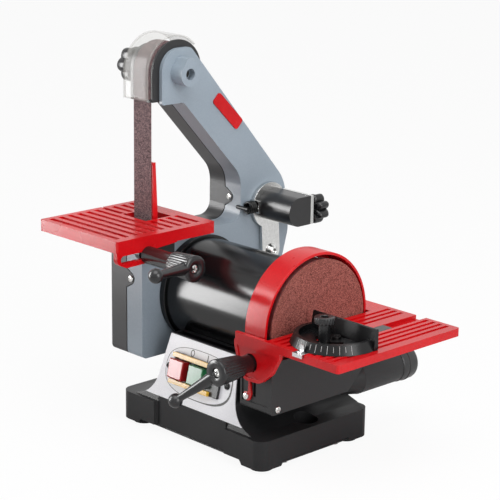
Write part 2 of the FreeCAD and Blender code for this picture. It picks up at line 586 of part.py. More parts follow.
def disc_end(fixings):
    centre = ("axis_y", "axis_height")
    face = "disc_face - paper_thick"
    keep(cut("disc_plate", fuse("disc_plate_solid", rod("disc_rim", "x", centre, ("plate_rear", face),
                                                        "disc_radius - 0.5"),
                                rod("disc_hub", "x", centre, ("motor_front + 6", "plate_rear + 1"),
                                    "2 * shaft_radius")),
             rod("disc_bore", "x", centre, ("motor_front", "plate_rear - 0.3"), "shaft_radius")))
    keep(rod("sanding_disc", "x", centre, (face, "disc_face"), "disc_radius"))
    plate = rod("back_plate_blank", "x", centre, ("motor_front + 0.1", "motor_front + back_plate_thick"),
                "plate_radius")
    holes = [rod("back_plate_bore", "x", centre, ("motor_front - 1", "motor_front + 9"), "2 * shaft_radius + 3")]
    screws = []
    for turn, spot in enumerate(fixings):
        holes.append(rod(f"back_plate_hole{turn}", "x", spot, ("motor_front - 1", "motor_front + 9"),
                         "screw_shank + 0.1"))
        screws.append(screw(f"back_plate_screw{turn}", "x", spot, "motor_front + back_plate_thick", 12))
    bell = PARTS[[item.Label for item in PARTS].index("front_bell")]
    bored = cut("front_bell_bored", bell, *[rod(f"bell_hole{turn}", "x", spot, ("shell_front", "motor_front + 1"),
                                                "screw_shank + 0.1") for turn, spot in enumerate(fixings)])
    PARTS.remove(bell)
    bell.Label = "front_bell_plain"
    bored.Label = "front_bell"
    keep(bored)
    keep(cut("back_plate", plate, *holes))
    keep(cut("disc_guard",
             fuse("guard_solid",
                  ring("guard_band", "x", centre, ("motor_front", "guard_front"), "guard_outer", "guard_inner"),
                  ring("guard_wall_ring", "x", centre, ("motor_front", "motor_front + back_plate_thick"),
                       "guard_outer", "plate_radius + gap")),
             box("guard_cut", ("motor_front - 1", "guard_front + 1"), ("-base_depth", "base_depth"),
                 ("0", "guard_floor"))))
    slot_angle = math.degrees(math.atan2(number("disc_lock_z - tilt_pin_z"),
                                         number("disc_lock_x - tilt_pin_x"))) % 360
    slot_reach = math.hypot(number("disc_lock_z - tilt_pin_z"), number("disc_lock_x - tilt_pin_x"))
    outline = [("box_left", "box_floor", 3), ("box_right - box_corner_cut", "box_floor", 3),
               ("box_right", "box_floor + box_corner_cut", 3), ("box_right", "box_side_top"),
               ("box_left", "box_side_top")]
    inner = [("box_left + box_wall", "box_floor + box_wall"),
             ("box_right - box_corner_cut - 1.3", "box_floor + box_wall"),
             ("box_right - box_wall", "box_floor + box_corner_cut + 1.3"),
             ("box_right - box_wall", "box_side_top + 5"), ("box_left + box_wall", "box_side_top + 5")]
    port = ("port_x", "port_z")
    duct = fuse("duct_solid",
                rod("duct_cone", "y", port, ("box_right - box_corner_cut - 4", "box_right - 4"), "port_radius - 6",
                    "port_radius"),
                rod("duct_tube", "y", port, ("box_right - 5", "port_end - port_ring - gap"), "port_radius"))
    tools = [prism("box_inside", "YZ", inner, "box_rear + box_wall", "box_front - box_wall"),
             rod("duct_bore", "y", port, ("box_right - box_corner_cut - 3", "port_end"),
                 "port_radius - 8"),
             rod("duct_flow", "y", port, ("box_right - 6", "port_end"), "port_radius - port_wall"),
             rod("motor_hole", "x", centre, ("box_rear - 1", "box_rear + box_wall + 1"),
                 "motor_radius + gap"),
             box("box_front_cut", ("tilt_pin_x + 4.3", "box_front + 1"), ("-base_depth", "base_depth"),
                 ("box_front_top", "box_side_top + 1")),
             box("box_rear_cut", ("box_rear - 1", "motor_front + back_plate_thick + 0.5"),
                 ("box_left + box_wall", "box_right - box_wall"), ("box_front_top", "box_side_top + 1")),
             arc_slot("lock_slot", "y", ("tilt_pin_x", "tilt_pin_z"), ("box_left - 1", "box_left + box_wall + 1"),
                      slot_reach, "stud_radius + 0.4", (slot_angle - 45, slot_angle), 40)]
    tools += [rod(f"pin_seat{side}", "y", ("tilt_pin_x", "tilt_pin_z"),
                  (f"{side} - 1", f"{side} + box_wall + 1"), "tilt_pin_radius")
              for side in ("box_left", "(box_right - box_wall)")]
    tools += [box("side_recess", ("box_rear + 2.5", "box_front - 6"), ("box_left - 1", "box_left + recess"),
                  ("box_floor + 7", "disc_lock_z - lock_hole")),
              box("scale_slot", ("77", "80"), ("box_left - 1", "box_left + box_wall + 1"), ("70", "90"))]
    tools += [rod("pointer_bore", "y", ("69.5", "69"), ("box_left - 1", "box_left + 4"), "screw_shank + 0.05"),
              rod("corner_bore", "x", ("box_left + 8", "box_floor + 5"), ("box_front - 4", "box_front + 1"),
                  "screw_shank + 0.05")]
    keep(cut("disc_box", fuse("disc_box_solid", prism("box_outside", "YZ", outline, "box_rear", "box_front"), duct),
             *tools))
    keep(ring("dust_port", "y", port, ("port_end - port_ring", "port_end"), "port_radius + 0.6",
              "port_radius - port_wall"))
    keep(group("disc_end_screws", *screws,
               screw("corner_screw", "x", ("box_left + 8", "box_floor + 5"), "box_front", 6),
               screw("pointer_screw", "y", ("69.5", "69"), "box_left + recess - 2 - 0.1", 6, heads_up=False)))
    finger = prism("pointer_blade", "XZ", [("65.5", "65", 3), ("73.5", "65", 3), ("76", "72"), ("73.6", "86.4"),
                                           ("72.4", "86.4"), ("71.5", "74"), ("65.5", "73", 3)],
                   "box_left + recess - 2 - 0.1", "box_left + recess - 0.1")
    keep(cut("angle_pointer", finger, rod("pointer_hole", "y", ("69.5", "69"), ("box_left - 4", "box_left + 1"),
                                          "screw_shank + 0.1")))
    pins = [rod("front_pin", "y", ("tilt_pin_x", "tilt_pin_z"), ("disc_table_front + 2", "box_left + box_wall + 0.5"),
                "tilt_pin_radius"),
            rod("back_pin", "y", ("tilt_pin_x", "tilt_pin_z"),
                ("box_right - box_wall - 0.5", "cutout_back + 6"), "tilt_pin_radius")]
    keep(group("table_tilt_pins", *pins))


def disc_table():
    outline = [("disc_table_start", "disc_table_front", 2), ("disc_table_end", "disc_table_front", 3),
               ("disc_table_end", "disc_table_back", 3), ("disc_table_start", "disc_table_back", 3),
               ("disc_table_start", "cutout_back"), ("table_edge", "cutout_back"),
               ("table_edge", "cutout_front"), ("disc_table_start", "cutout_front")]
    plate = prism("disc_table_plate", "XY", outline, "disc_table_floor", "disc_table_top")
    floor = "disc_table_floor + 1"
    quadrant = prism("quadrant", "XZ", [
        ("disc_table_start", floor), ("disc_table_start", "disc_table_floor - 5"), ("62", "104", 4),
        ("64", "92.5", 5), ("74", "87", 9), ("93", "88", 14), ("107", "100", 14), ("117", "118"),
        ("117", floor)], "disc_table_front", "disc_table_front + quadrant_thick")
    lug = prism("back_lug", "XZ", [("tilt_pin_x - 9", floor), ("tilt_pin_x - 5", "tilt_pin_z - 6.5", 3),
                                   ("tilt_pin_x + 5", "tilt_pin_z - 6.5", 3), ("tilt_pin_x + 12", floor)],
                "cutout_back", "cutout_back + 6")
    tools = [box("mitre_slot", ("slot_x - slot_width / 2", "slot_x + slot_width / 2"),
                 ("disc_table_front - 1", "disc_table_back + 1"), ("disc_table_top - slot_depth", "disc_table_top + 1")),
             rod("pin_hole", "y", ("tilt_pin_x", "tilt_pin_z"), ("disc_table_front + 1.8", "base_depth"),
                 "tilt_pin_radius + fit"),
             prism("quadrant_recess", "XZ", [
                 ("61.2", "disc_table_floor - 4"), ("64.8", "105"), ("67.2", "95", 3), ("75", "90.3", 6),
                 ("91.5", "91.3", 10), ("103.5", "102", 10), ("112", "117"), ("113", "disc_table_floor - 4")],
                   "disc_table_front - 1", "disc_table_front + recess"),
             rod("neck_hole", "y", ("disc_lock_x", "disc_lock_z"), ("disc_table_front - 1",
                                                                   "disc_table_front + 9"), "lock_hole")]
    pitch, width = 8.2, 4.2
    left, slot_edge = number("table_edge + 5"), number("slot_x - slot_width / 2 - 3")
    right, end = number("slot_x + slot_width / 2 + 3"), number("disc_table_end - 5")
    starts = [left + pitch * turn for turn in range(int((slot_edge - left) / pitch))]
    starts += [right + pitch * turn for turn in range(int((end - right) / pitch))]
    for turn, start in enumerate(starts):
        tools.append(box(f"disc_groove{turn}", (start + 1, start + 1 + width),
                         ("disc_table_front + 5", "disc_table_back - 5"),
                         ("disc_table_top - 1.4", "disc_table_top + 1")))
    keep(cut("disc_table", fuse("disc_table_solid", plate, quadrant, lug), *tools))


def clamp_lever(name, neck, turn_angle, sunk):
    """Clamping lever about its own +Z, thread end at the origin, with its stud."""
    top = f"{neck} + hub_length"
    rise = math.radians(18)
    aim = Vector(math.cos(rise) * math.cos(turn_angle), math.cos(rise) * math.sin(turn_angle), math.sin(rise))
    arm = DOC.addObject("Part::Cone", name + "_arm")
    arm.Placement = Placement(Vector(0, 0, 0), Rotation(Vector(0, 0, 1), aim))
    bind(arm, "Radius1", "lever_root")
    bind(arm, "Radius2", "lever_tip")
    bind(arm, "Height", "lever_length")
    bind(arm, "Placement.Base.z", f"{top} - 9")
    ball = DOC.addObject("Part::Sphere", name + "_ball")
    bind(ball, "Radius", "ball_radius")
    for axis, step in zip("xyz", aim):
        bind(ball, f"Placement.Base.{axis}", f"lever_length * {step:.6f}" + (f" + {top} - 9" if axis == "z" else ""))
    solid = fuse(name + "_solid", rod(name + "_neck", "z", ("0", "0"), ("0", f"{neck} + 1"), "neck_radius"),
                 rod(name + "_hub", "z", ("0", "0"), (neck, top), "hub_root", "hub_radius"), arm, ball)
    handle = cut(name + "_handle", solid,
                 rod(name + "_bore", "z", ("0", "0"), ("-1", f"{top} - 2"), "stud_radius"),
                 rod(name + "_well", "z", ("0", "0"), (f"{top} - 3.5", f"{top} + 1"), "4.6"))
    stud = fuse(name + "_stud", rod(name + "_thread", "z", ("0", "0"), (f"-{sunk}", f"{top} - 2"), "stud_radius"),
                rod(name + "_cap", "z", ("0", "0"), (f"{top} - 3.4", f"{top} - 0.9"), "4"),
                rod(name + "_nut", "z", ("0", "0"), (f"-{sunk}", f"-{sunk} + 3"), "5"))
    return keep(fuse(name, handle, stud))


def locks():
    places = (("disc_lock", "disc_neck", 219.4, "box_wall + 4", Vector(1, 0, 0),
               ("disc_lock_x", "box_left - gap", "disc_lock_z")),
              ("belt_lock", "belt_neck", 263.5, "belt_plate_thick + 11", Vector(0, 1, 0),
               ("belt_table_right + 0.2", "belt_lock_y", "belt_lock_z")))
    for name, neck, angle, sunk, about, place in places:
        lever = clamp_lever(name, neck, math.radians(angle), sunk)
        lever.Placement.Rotation = Rotation(about, 90)
        for axis, formula in zip("xyz", place):
            bind(lever, f"Placement.Base.{axis}", formula)


def arm_half(label, low, high, open_face):
    """One half of the arm: the side view padded to the seam, less the same outline set in by the wall."""
    outline = [("arm_front", "arm_floor", 6), ("arm_front", "throat_floor", 4),
               ("throat_back", "throat_floor", 14), ("throat_back", "throat_knee", 30),
               ("throat_lip", "head_floor", 8), ("head_left", "head_floor", 2),
               ("head_left", "head_top", "head_radius - 2"), ("head_right", "head_top", 10),
               ("shoulder_y", "shoulder_z", 45), ("arm_back", "rear_wheel_z - arm_back_drop", 25),
               ("heel_y", "heel_z", 30), ("toe_y", "arm_floor", 35)]
    body = prism(label + "_side_view", "YZ", outline, low, high)
    seam = number(open_face)
    name = next(f"Face{turn}" for turn, face in enumerate(body.Tip.Shape.Faces, 1)
                if abs(face.BoundBox.XMin - seam) < 1e-4 and abs(face.BoundBox.XMax - seam) < 1e-4)
    inner = DOC.addObject("PartDesign::SubShapeBinder", label + "_inner_outline")
    inner.Support = [(body, (name,))]
    inner.MakeFace = True
    inner.OffsetJoinType = "Intersection"
    bind(inner, "Offset", "-rim_wall")
    core = DOC.addObject("Part::Extrusion", label + "_core")
    core.Base = inner
    core.DirMode = "Custom"
    core.Dir = Vector(1, 0, 0)
    core.Solid = True
    bind(core, "LengthFwd", f"{high} - ({low}) - arm_wall" if low == open_face else "0")
    bind(core, "LengthRev", "0" if low == open_face else f"{high} - ({low}) - arm_wall")
    DOC.recompute()
    return cut(label, body, core)


def ear(label, wall_y, height, grow):
    """Tapered tab of the cover that laps over the frame's wall; grow widens it into its notch."""
    return prism(label, "XZ", [
        ("belt_x - seam_half - 1", f"{height} - ear_half - {grow}"), ("belt_x + 1", f"{height} - ear_half - {grow}"),
        (f"belt_x + ear_reach + {grow}", height, f"5 + {grow}"), ("belt_x + 1", f"{height} + ear_half + {grow}"),
        ("belt_x - seam_half - 1", f"{height} + ear_half + {grow}")],
                 f"{wall_y} - {grow}", f"{wall_y} + rim_wall + {grow}")


def openings_of_arm(name):
    """What both halves leave open: the head around the wheel and the mouth for the belt."""
    low, high = "cover_face + arm_wall", "frame_face - arm_wall"
    return [box(name + "_head_room", (low, high), ("head_left - 5", "head_right + 52"),
                ("head_floor - 2", "head_top + 5")),
            box(name + "_mouth", (low, high), ("belt_front - 11", "belt_front + 13"),
                ("throat_floor - rim_wall - 2", "throat_floor + 1")),
            box(name + "_back_room", (low, high), ("head_right + 40", "head_right + 75"),
                ("head_floor - 20", "head_floor"))]


def arm():
    frame = arm_half("frame_half", "belt_x + seam_half", "frame_face", "belt_x + seam_half")
    cover = arm_half("cover_half", "cover_face", "belt_x - seam_half", "belt_x - seam_half")
    top = ("top_wheel_y", "top_wheel_z")
    inner = "frame_face - arm_wall"
    ears = (("front_ear", "arm_front", "ear_front_z"), ("throat_ear", "throat_back", "ear_back_z"))
    pads = [box(f"{name}_pad", ("belt_x + seam_half + 0.4", f"{inner} + 1"),
                (f"{wall} + rim_wall + 0.2", f"{wall} + rim_wall + 7"), (f"{height} - 7", f"{height} + 7"))
            for name, wall, height in ears]
    notched = cut("frame_notched", frame, *openings_of_arm("frame"),
                  *[ear(f"{name}_notch", wall, height, "ear_gap") for name, wall, height in ears])
    post = rod("cover_post", "x", ("arm_front + 9", "arm_floor + 9"), ("belt_x + seam_half", inner), "5")
    pin_place = ("spring_seat_y - spring_pin_radius", "rear_wheel_z + 2.5")
    keep(rod("spring_pin", "x", pin_place, (inner, "frame_face + 12.5"), "spring_pin_radius"))
    peak = prism("boss_peak", "YZ", [
        ("top_wheel_y - 11.6", "top_wheel_z + 3"), ("top_wheel_y - 3.4", "top_wheel_z + 15.5", 2),
        ("top_wheel_y + 5", "top_wheel_z + 15.5", 2), ("top_wheel_y + 10.2", "top_wheel_z + 6"),
    ], "frame_face - 1", "frame_face + boss_length")
    boss = rod("axle_boss", "x", top, ("frame_face - 1", "frame_face + boss_length"), "boss_radius")
    axle_end = "frame_face + boss_length - 8"
    tools = [rod("boss_well", "x", top, (axle_end, "frame_face + boss_length + 1"), "boss_bore"),
             rod("boss_hole", "x", top, (f"{inner} - 1", f"{axle_end} + 1"), "axle_radius"),
             rod("shaft_hole", "x", ("axis_y", "axis_height"), (f"{inner} - 1", "frame_face + 1"),
                 "shaft_radius + 3"),
             rod("pivot_hole", "x", ("lever_pivot_y", "lever_pivot_z"), (f"{inner} - 1", "frame_face + 1"), "4"),
             box("axle_slot", (f"{inner} - 1", "frame_face + 1"), ("rear_wheel_y - release_travel", "rear_wheel_y"),
                 ("rear_wheel_z - rear_axle_radius - 1.2", "rear_wheel_z + rear_axle_radius + 1.2")),
             rod("axle_slot_back", "x", ("rear_wheel_y", "rear_wheel_z"), (f"{inner} - 1", "frame_face + 1"),
                 "rear_axle_radius + 1.2"),
             rod("spring_pin_hole", "x", pin_place, (f"{inner} - 1", "frame_face + 1"), "spring_pin_radius + fit"),
             rod("axle_slot_front", "x", ("rear_wheel_y - release_travel", "rear_wheel_z"),
                 (f"{inner} - 1", "frame_face + 1"), "rear_axle_radius + 1.2"),
             rod("post_bore", "x", ("arm_front + 9", "arm_floor + 9"), ("belt_x", "belt_x + 12"),
                 "screw_shank + 0.05")]
    tools += [rod(f"{name}_bore", "y", ("ear_x", height), (f"{wall} - 1", f"{wall} + 14"), "screw_shank + 0.05")
              for name, wall, height in ears]
    tools += [rod(f"bracket_bore{turn}", "x", ("arm_front + 13 + 11 * " + str(turn), "throat_floor - 12"),
                  (f"{inner} - 1", "frame_face + 1"), "screw_shank + 0.05") for turn in range(2)]
    keep(cut("arm_frame", fuse("frame_solid", notched, boss, peak, post, *pads), *tools))
    covered = fuse("cover_solid", cut("cover_open", cover, *openings_of_arm("cover")),
                   *[ear(f"{name}_tab", wall, height, "0") for name, wall, height in ears])
    tools = [rod("cover_axle_hole", "x", top, ("cover_face - 1", "cover_face + 9"), "axle_radius + 0.3"),
             rod("cover_screw_hole", "x", ("arm_front + 9", "arm_floor + 9"), ("cover_face - 1", "belt_x"),
                 "screw_shank + 0.1")]
    tools += [rod(f"{name}_hole", "y", ("ear_x", height), (f"{wall} - 1", f"{wall} + 6"), "screw_shank + 0.1")
              for name, wall, height in ears]
    keep(cut("belt_cover", covered, *tools))
    screws = [screw(f"{name}_screw", "y", ("ear_x", height), wall, 10, heads_up=False)
              for name, wall, height in ears]
    screws.append(fuse("low_screw", rod("low_screw_head", "x", ("arm_front + 9", "arm_floor + 9"),
                                        ("cover_face - screw_rise", "cover_face"), "screw_head"),
                       rod("low_screw_shank", "x", ("arm_front + 9", "arm_floor + 9"),
                           ("cover_face - 1", "belt_x + 10"), "screw_shank")))
    keep(rod("top_axle", "x", top, ("cover_face - 18", axle_end), "axle_radius"))
    star = star_knob("cover_star", "x", top, ("cover_face - 24", "cover_face - 9"), 6, "knob_radius")
    keep(cut("cover_knob", star, rod("cover_knob_bore", "x", top, ("cover_face - 18.3", "cover_face - 8"),
                                     "axle_radius + fit")))
    return screws


def top_end():
    centre = ("top_wheel_y", "top_wheel_z")
    span = ("belt_x - wheel_half", "belt_x + wheel_half")
    keep(ring("top_wheel", "x", centre, span, "top_radius", "11"))
    keep(group("top_wheel_bearings",
               ring("top_bearing0", "x", centre, (span[0], f"{span[0]} + 7"), "11", "axle_radius + fit"),
               ring("top_bearing1", "x", centre, (f"{span[1]} - 7", span[1]), "11", "axle_radius + fit")))
    front, back = "top_wheel_y - 31.6", "top_wheel_y + 31.6"
    low, high = "top_wheel_z - 27", "top_wheel_z + 31.6"
    plate = prism("bracket_plate", "YZ", [
        (front, low), (front, high, 31), (back, high, 31), (back, "top_wheel_z - 4"), ("top_wheel_y + 16", low),
    ], "hood_right + gap", "hood_right + gap + bracket_thick")
    foot = box("bracket_foot", ("hood_right - 3", "hood_right + gap + 1"),
               ("top_wheel_y - hood_radius + hood_flange + gap", f"{front} + 7"), (low, f"{low} + 2.5"))
    keep(cut("guard_bracket", fuse("bracket_solid", plate, foot),
             rod("bracket_hole", "x", centre, ("hood_right - 5", "frame_face"), "axle_radius + 0.2")))
    keep(hood())


def hood_band(name, span, inner):
    """Strip of hood between two radii: straight in front, then round to past the top."""
    centre = ("top_wheel_y", "top_wheel_z")
    band = ring(name + "_ring", "x", centre, span, "hood_radius", inner)
    upper = box(name + "_upper", span, ("top_wheel_y - 60", "top_wheel_y + 60"),
                ("top_wheel_z", "top_wheel_z + 60"))
    wedge = prism(name + "_wedge", "YZ", [centre, ("top_wheel_y + 60", "top_wheel_z - 1"),
                                          ("top_wheel_y + 60", "top_wheel_z + 58")], *span)
    front = box(name + "_front", span, ("top_wheel_y - hood_radius", f"top_wheel_y - ({inner})"),
                ("top_wheel_z - hood_drop", "top_wheel_z"))
    return fuse(name, cut(name + "_arc", common(name + "_half", band, upper), wedge), front)


def hood():
    """Sheet hood over the front and top of the wheel, turned in along both edges."""
    flange = "hood_radius - hood_flange"
    return fuse("clear_guard",
                hood_band("hood_skin", ("hood_left", "hood_right"), "hood_radius - hood_wall"),
                hood_band("hood_near", ("hood_right - hood_wall", "hood_right"), flange),
                hood_band("hood_far", ("hood_left", "hood_left + hood_wall"), flange))


def belt_drive():
    centre = ("axis_y", "axis_height")
    span = ("belt_x - wheel_half", "belt_x + wheel_half")
    keep(cut("drive_wheel", rod("drive_blank", "x", centre, span, "drive_radius"),
             rod("drive_bore", "x", centre, (f"{span[0]} - 1", f"{span[1]} + 1"), "shaft_radius"),
             ring("drive_recess", "x", centre, (f"{span[0]} - 1", f"{span[0]} + 9"), "drive_radius - 7",
                  "2 * shaft_radius")))
    nut = DOC.addObject("Part::Prism", "drive_nut_hex")
    nut.Polygon = 6
    nut.Placement.Rotation = TURN["x"]
    bind(nut, "Circumradius", "shaft_radius + 5")
    bind(nut, "Height", "5.5")
    for axis, place in zip("xyz", (f"{span[0]} - 5.6",) + centre):
        bind(nut, f"Placement.Base.{axis}", place)
    keep(cut("drive_nut", nut, rod("nut_bore", "x", centre, (f"{span[0]} - 9", f"{span[0]} + 1"), "shaft_radius")))
    rear = ("rear_wheel_y", "rear_wheel_z")
    keep(ring("rear_wheel", "x", rear, span, "rear_radius", "rear_axle_radius + fit"))
    keep(sanding_belt())
    platen()


def sanding_belt():
    """Closed loop of belt wrapped round the three wheels, clear of them by the gap."""
    wheels = [[number(word) for word in spot] for spot in (
        ("axis_y", "axis_height", "drive_radius"), ("rear_wheel_y", "rear_wheel_z", "rear_radius"),
        ("top_wheel_y", "top_wheel_z", "top_radius"))]
    faces = []
    for lift in (number("gap + belt_thick"), number("gap")):
        lifted = [(y, z, radius + lift) for y, z, radius in wheels]
        sides = [side for _, side in belt_runs(lifted)]
        edges = []
        for turn, (y, z, radius) in enumerate(lifted):
            start, end = sides[turn - 1], sides[turn]
            sweep = (end - start) % (2 * math.pi)
            spots = [Vector(0, y + radius * math.cos(start + sweep * part), z + radius * math.sin(start + sweep * part))
                     for part in (0, 0.5, 1)]
            if edges:
                edges.append(Part.makeLine(edges[-1].Vertexes[-1].Point, spots[0]))
            edges.append(Part.Arc(*spots).toShape())
        edges.append(Part.makeLine(edges[-1].Vertexes[-1].Point, edges[0].Vertexes[0].Point))
        faces.append(Part.Face(Part.Wire(edges)))
    band = faces[0].cut(faces[1]).extrude(Vector(number("belt_width"), 0, 0))
    item = DOC.addObject("Part::Feature", "sanding_belt")
    item.Shape = band.Solids[0]
    bind(item, "Placement.Base.x", "belt_x - belt_width / 2")
    return item


def platen():
    back = "platen_face + platen_thick"
    right = "belt_x + belt_width / 2 + platen_edge"
    plate = box("platen_plate", ("belt_x - belt_width / 2", right), ("platen_face", back),
                ("platen_foot", "platen_top"))
    rib = prism("platen_rib", "YZ", [("platen_face", "platen_foot"), ("platen_face + 6", "platen_foot"),
                                     ("platen_face + 6", "platen_foot + 55"), ("platen_face + 3.5", "platen_top"),
                                     ("platen_face", "platen_top")], f"{right} - 2.5", right)
    foot = box("platen_tab", ("belt_x + wheel_half + gap", "frame_face - arm_wall - 0.1"), ("platen_face", "platen_face + 12"),
               ("platen_foot", "platen_foot + 16"))
    keep(fuse("platen", plate, rib, foot))


def tension():
    face = ("lever_face", "lever_face + lever_thick")
    pivot, wheel = ("lever_pivot_y", "lever_pivot_z"), ("rear_wheel_y", "rear_wheel_z")
    strip = prism("lever_strip", "YZ", [
        ("lever_pivot_y - lever_width / 2", "lever_pivot_z"), ("lever_pivot_y + lever_width / 2", "lever_pivot_z"),
        ("rear_wheel_y + lever_width / 2", "rear_wheel_z"), ("rear_wheel_y - lever_width / 2", "rear_wheel_z")], *face)
    flange = box("lever_flange", ("lever_face", "pull_end"), ("pull_back + 0.1", "pull_back + 0.1 + flange_depth"),
                 ("rear_wheel_z - 14", "rear_wheel_z + 16"))
    tab = box("lever_tab", ("lever_face", "lever_face + 12"), ("rear_wheel_y - lever_head", "rear_wheel_y - 21"),
              ("rear_wheel_z - 4", "rear_wheel_z + 9"))
    knob_place = ("tracking_x", "rear_wheel_z - 1")
    keep(cut("tension_lever",
             fuse("lever_solid", strip, flange, tab, rod("lever_eye", "x", pivot, face, "lever_width / 2"),
                  rod("lever_disc", "x", wheel, face, "lever_head")),
             rod("lever_bolt_hole", "x", pivot, ("frame_face", "frame_face + 9"), "4 + fit"),
             rod("lever_axle_hole", "x", wheel, ("frame_face", "frame_face + 9"), "rear_axle_radius"),
             rod("tracking_hole", "y", knob_place, ("pull_back - 1", "pull_back + 9"), "3 + fit")))
    keep(fuse("lever_bolt", rod("lever_bolt_shank", "x", pivot, ("frame_face - arm_wall", "lever_face + 5"), "4"),
              rod("lever_bolt_head", "x", pivot, ("lever_face + lever_thick + 0.2", "lever_face + lever_thick + 5"),
                  "7", "6")))
    low, high = "rear_wheel_z - 14", "rear_wheel_z + 16"
    grip = prism("pull_solid", "YZ", [("pull_left", low, "pull_radius - 0.2"), ("pull_back", low, 1.5),
                                      ("pull_back", high, 1.5), ("pull_left", high, "pull_radius - 0.2")],
                 "lever_face + lever_thick + 0.1", "pull_end")
    keep(cut("tension_handle", grip, rod("tracking_bore", "y", knob_place, ("rear_wheel_y + 1", "pull_back + 1"),
                                         "3.3")))
    keep(rod("rear_axle", "x", wheel, ("belt_x - wheel_half - 0.5", "lever_face + lever_thick"),
             "rear_axle_radius"))
    start = "pull_back + 0.1 + flange_depth"
    star = star_knob("tracking_star", "y", knob_place, (f"{start} + 2", f"{start} + 20"), 7, "star_radius")
    keep(fuse("tracking_knob", star,
              rod("tracking_stem", "y", knob_place, ("rear_wheel_y + 2", f"{start} + 16.5"), "3")))
    coil()


def coil():
    """Spring between the seat on the frame and the lever's tab."""
    length = number("12.5 - 2 * 0.4 - 2 * spring_wire")
    turns = 3.5
    radius = number("spring_radius")
    path = Part.makeHelix(length / turns, length, radius)
    wire = Part.Wire([Part.makeCircle(number("spring_wire"), Vector(radius, 0, 0), Vector(0, 1, 0))])
    item = DOC.addObject("Part::Feature", "tension_spring")
    item.Shape = Part.Wire(path).makePipeShell([wire], True, True)
    item.Placement.Rotation = TURN["y"]
    for axis, place in zip("xyz", ("frame_face + 7", "spring_seat_y + 0.4 + spring_wire", "rear_wheel_z + 2.5")):
        bind(item, f"Placement.Base.{axis}", place)
    keep(item)


def belt_table():
    left, right = "belt_table_left", "belt_table_right"
    front, back = "belt_table_front", "belt_table_back"
    floor, top = "belt_table_floor", "belt_table_top"
    plate = prism("belt_table_plate", "XY", [(left, front, 2), (right, front, 2), (right, back, 2), (left, back, 2)],
                  floor, top)
    plate_left = f"{right} - belt_plate_thick"
    hanger = prism("hanger", "YZ", [
        (front, f"{floor} + 1"), (front, "belt_lock_z - 3", 7), ("belt_lock_y - 26", "belt_lock_z - 8.7", 5),
        ("belt_lock_y + 3", "belt_lock_z - 7.9"), ("belt_lock_y + 3", "belt_lock_z + slot_height / 2"),
        ("belt_lock_y + 36", f"{floor} - 1"), ("belt_lock_y + 40", f"{floor} + 1")], plate_left, right)
    opening_x = ("belt_x - belt_width / 2 - opening_room", "belt_x + belt_width / 2 + platen_edge + opening_room")
    opening = box("belt_opening", opening_x, ("opening_front", "opening_back"), (f"{floor} - 5", f"{top} + 5"))
    cavity = cut("table_cavity",
                 box("cavity_blank", (f"{left} + 4", f"{right} - belt_plate_thick - 1"),
                     (f"{front} + 4", f"{back} - 4"), (f"{floor} - 1", f"{top} - 5.5")),
                 box("opening_frame", (f"{opening_x[0]} - 4", f"{opening_x[1]} + 4"),
                     ("opening_front - 4", "opening_back + 4"), (f"{floor} - 2", f"{top}")))
    reach = "belt_lock_y - slide_travel - 3 - slot_height / 2"
    tools = [opening, cavity,
             box("change_slot", (f"{left} - 1", "belt_x"), ("opening_front + 3", "opening_front + 5.2"),
                 (f"{floor} - 5", f"{top} + 5")),
             box("slide_slot", (f"{plate_left} - 1", f"{right} + 1"), (f"{reach} + slot_height / 2", "belt_lock_y + 4"),
                 ("belt_lock_z - slot_height / 2", "belt_lock_z + slot_height / 2")),
             rod("slide_slot_end", "x", (f"{reach} + slot_height / 2", "belt_lock_z"),
                 (f"{plate_left} - 1", f"{right} + 1"), "slot_height / 2")]
    pitch, width = 11.2, 5.6
    low, high = number(f"{front} + 6"), number(f"{back} - 5")
    for turn in range(int((high - low) / pitch)):
        start = low + pitch * turn
        span = (start, start + width)
        beside = start + width < number("opening_front - 2") or start > number("opening_back + 2")
        runs = [(f"{left} + 6", f"{right} - 9")] if beside else [
            (f"{left} + 6", f"{opening_x[0]} - 3"), (f"{opening_x[1]} + 3", f"{right} - 9")]
        for part, run in enumerate(runs):
            tools.append(box(f"belt_groove{turn}_{part}", run, span, (f"{top} - 2", f"{top} + 1")))
    keep(cut("belt_table", fuse("belt_table_solid", plate, hanger), *tools))
    bore = ("belt_lock_y", "belt_lock_z")
    block = box("block_blank", (f"{plate_left} - 0.2", f"{right} + 0.1"), ("belt_lock_y - 4", "belt_lock_y + 4"),
                ("belt_lock_z - slot_height / 2 + gap", "belt_lock_z + slot_height / 2 - gap"))
    keep(cut("slide_block", block, rod("block_bore", "x", bore, (f"{plate_left} - 1", f"{right} + 1"),
                                       "stud_radius + fit")))
    tongue_left, tongue_right = f"{plate_left} - 6.7", f"{plate_left} - 0.5"
    low, high = "belt_lock_z - 6.2", "belt_lock_z + 6.2"
    foot_y = ("arm_front + 1", "arm_front + 26")
    carrier = fuse("carrier_solid",
                   box("carrier_foot", ("frame_face", "frame_face + 5"), foot_y, ("throat_floor - 20", high)),
                   box("carrier_bar", ("frame_face + 4", tongue_right), ("arm_front + 1", "arm_front + 12"), (low, high)),
                   box("carrier_tongue", (tongue_left, tongue_right), ("belt_lock_y", "arm_front + 12"), (low, high)),
                   rod("carrier_end", "x", bore, (tongue_left, tongue_right), "6.2"))
    holes = [rod("carrier_bore", "x", bore, (f"{tongue_left} - 1", f"{tongue_right} + 1"), "stud_radius + fit")]
    screws = []
    for turn in range(2):
        spot = ("arm_front + 13 + 11 * " + str(turn), "throat_floor - 12")
        holes.append(rod(f"carrier_hole{turn}", "x", spot, ("frame_face - 1", "frame_face + 9"), "screw_shank + 0.1"))
        screws.append(screw(f"carrier_screw{turn}", "x", spot, "frame_face + 5", 9))
    keep(cut("table_carrier", carrier, *holes))
    return screws


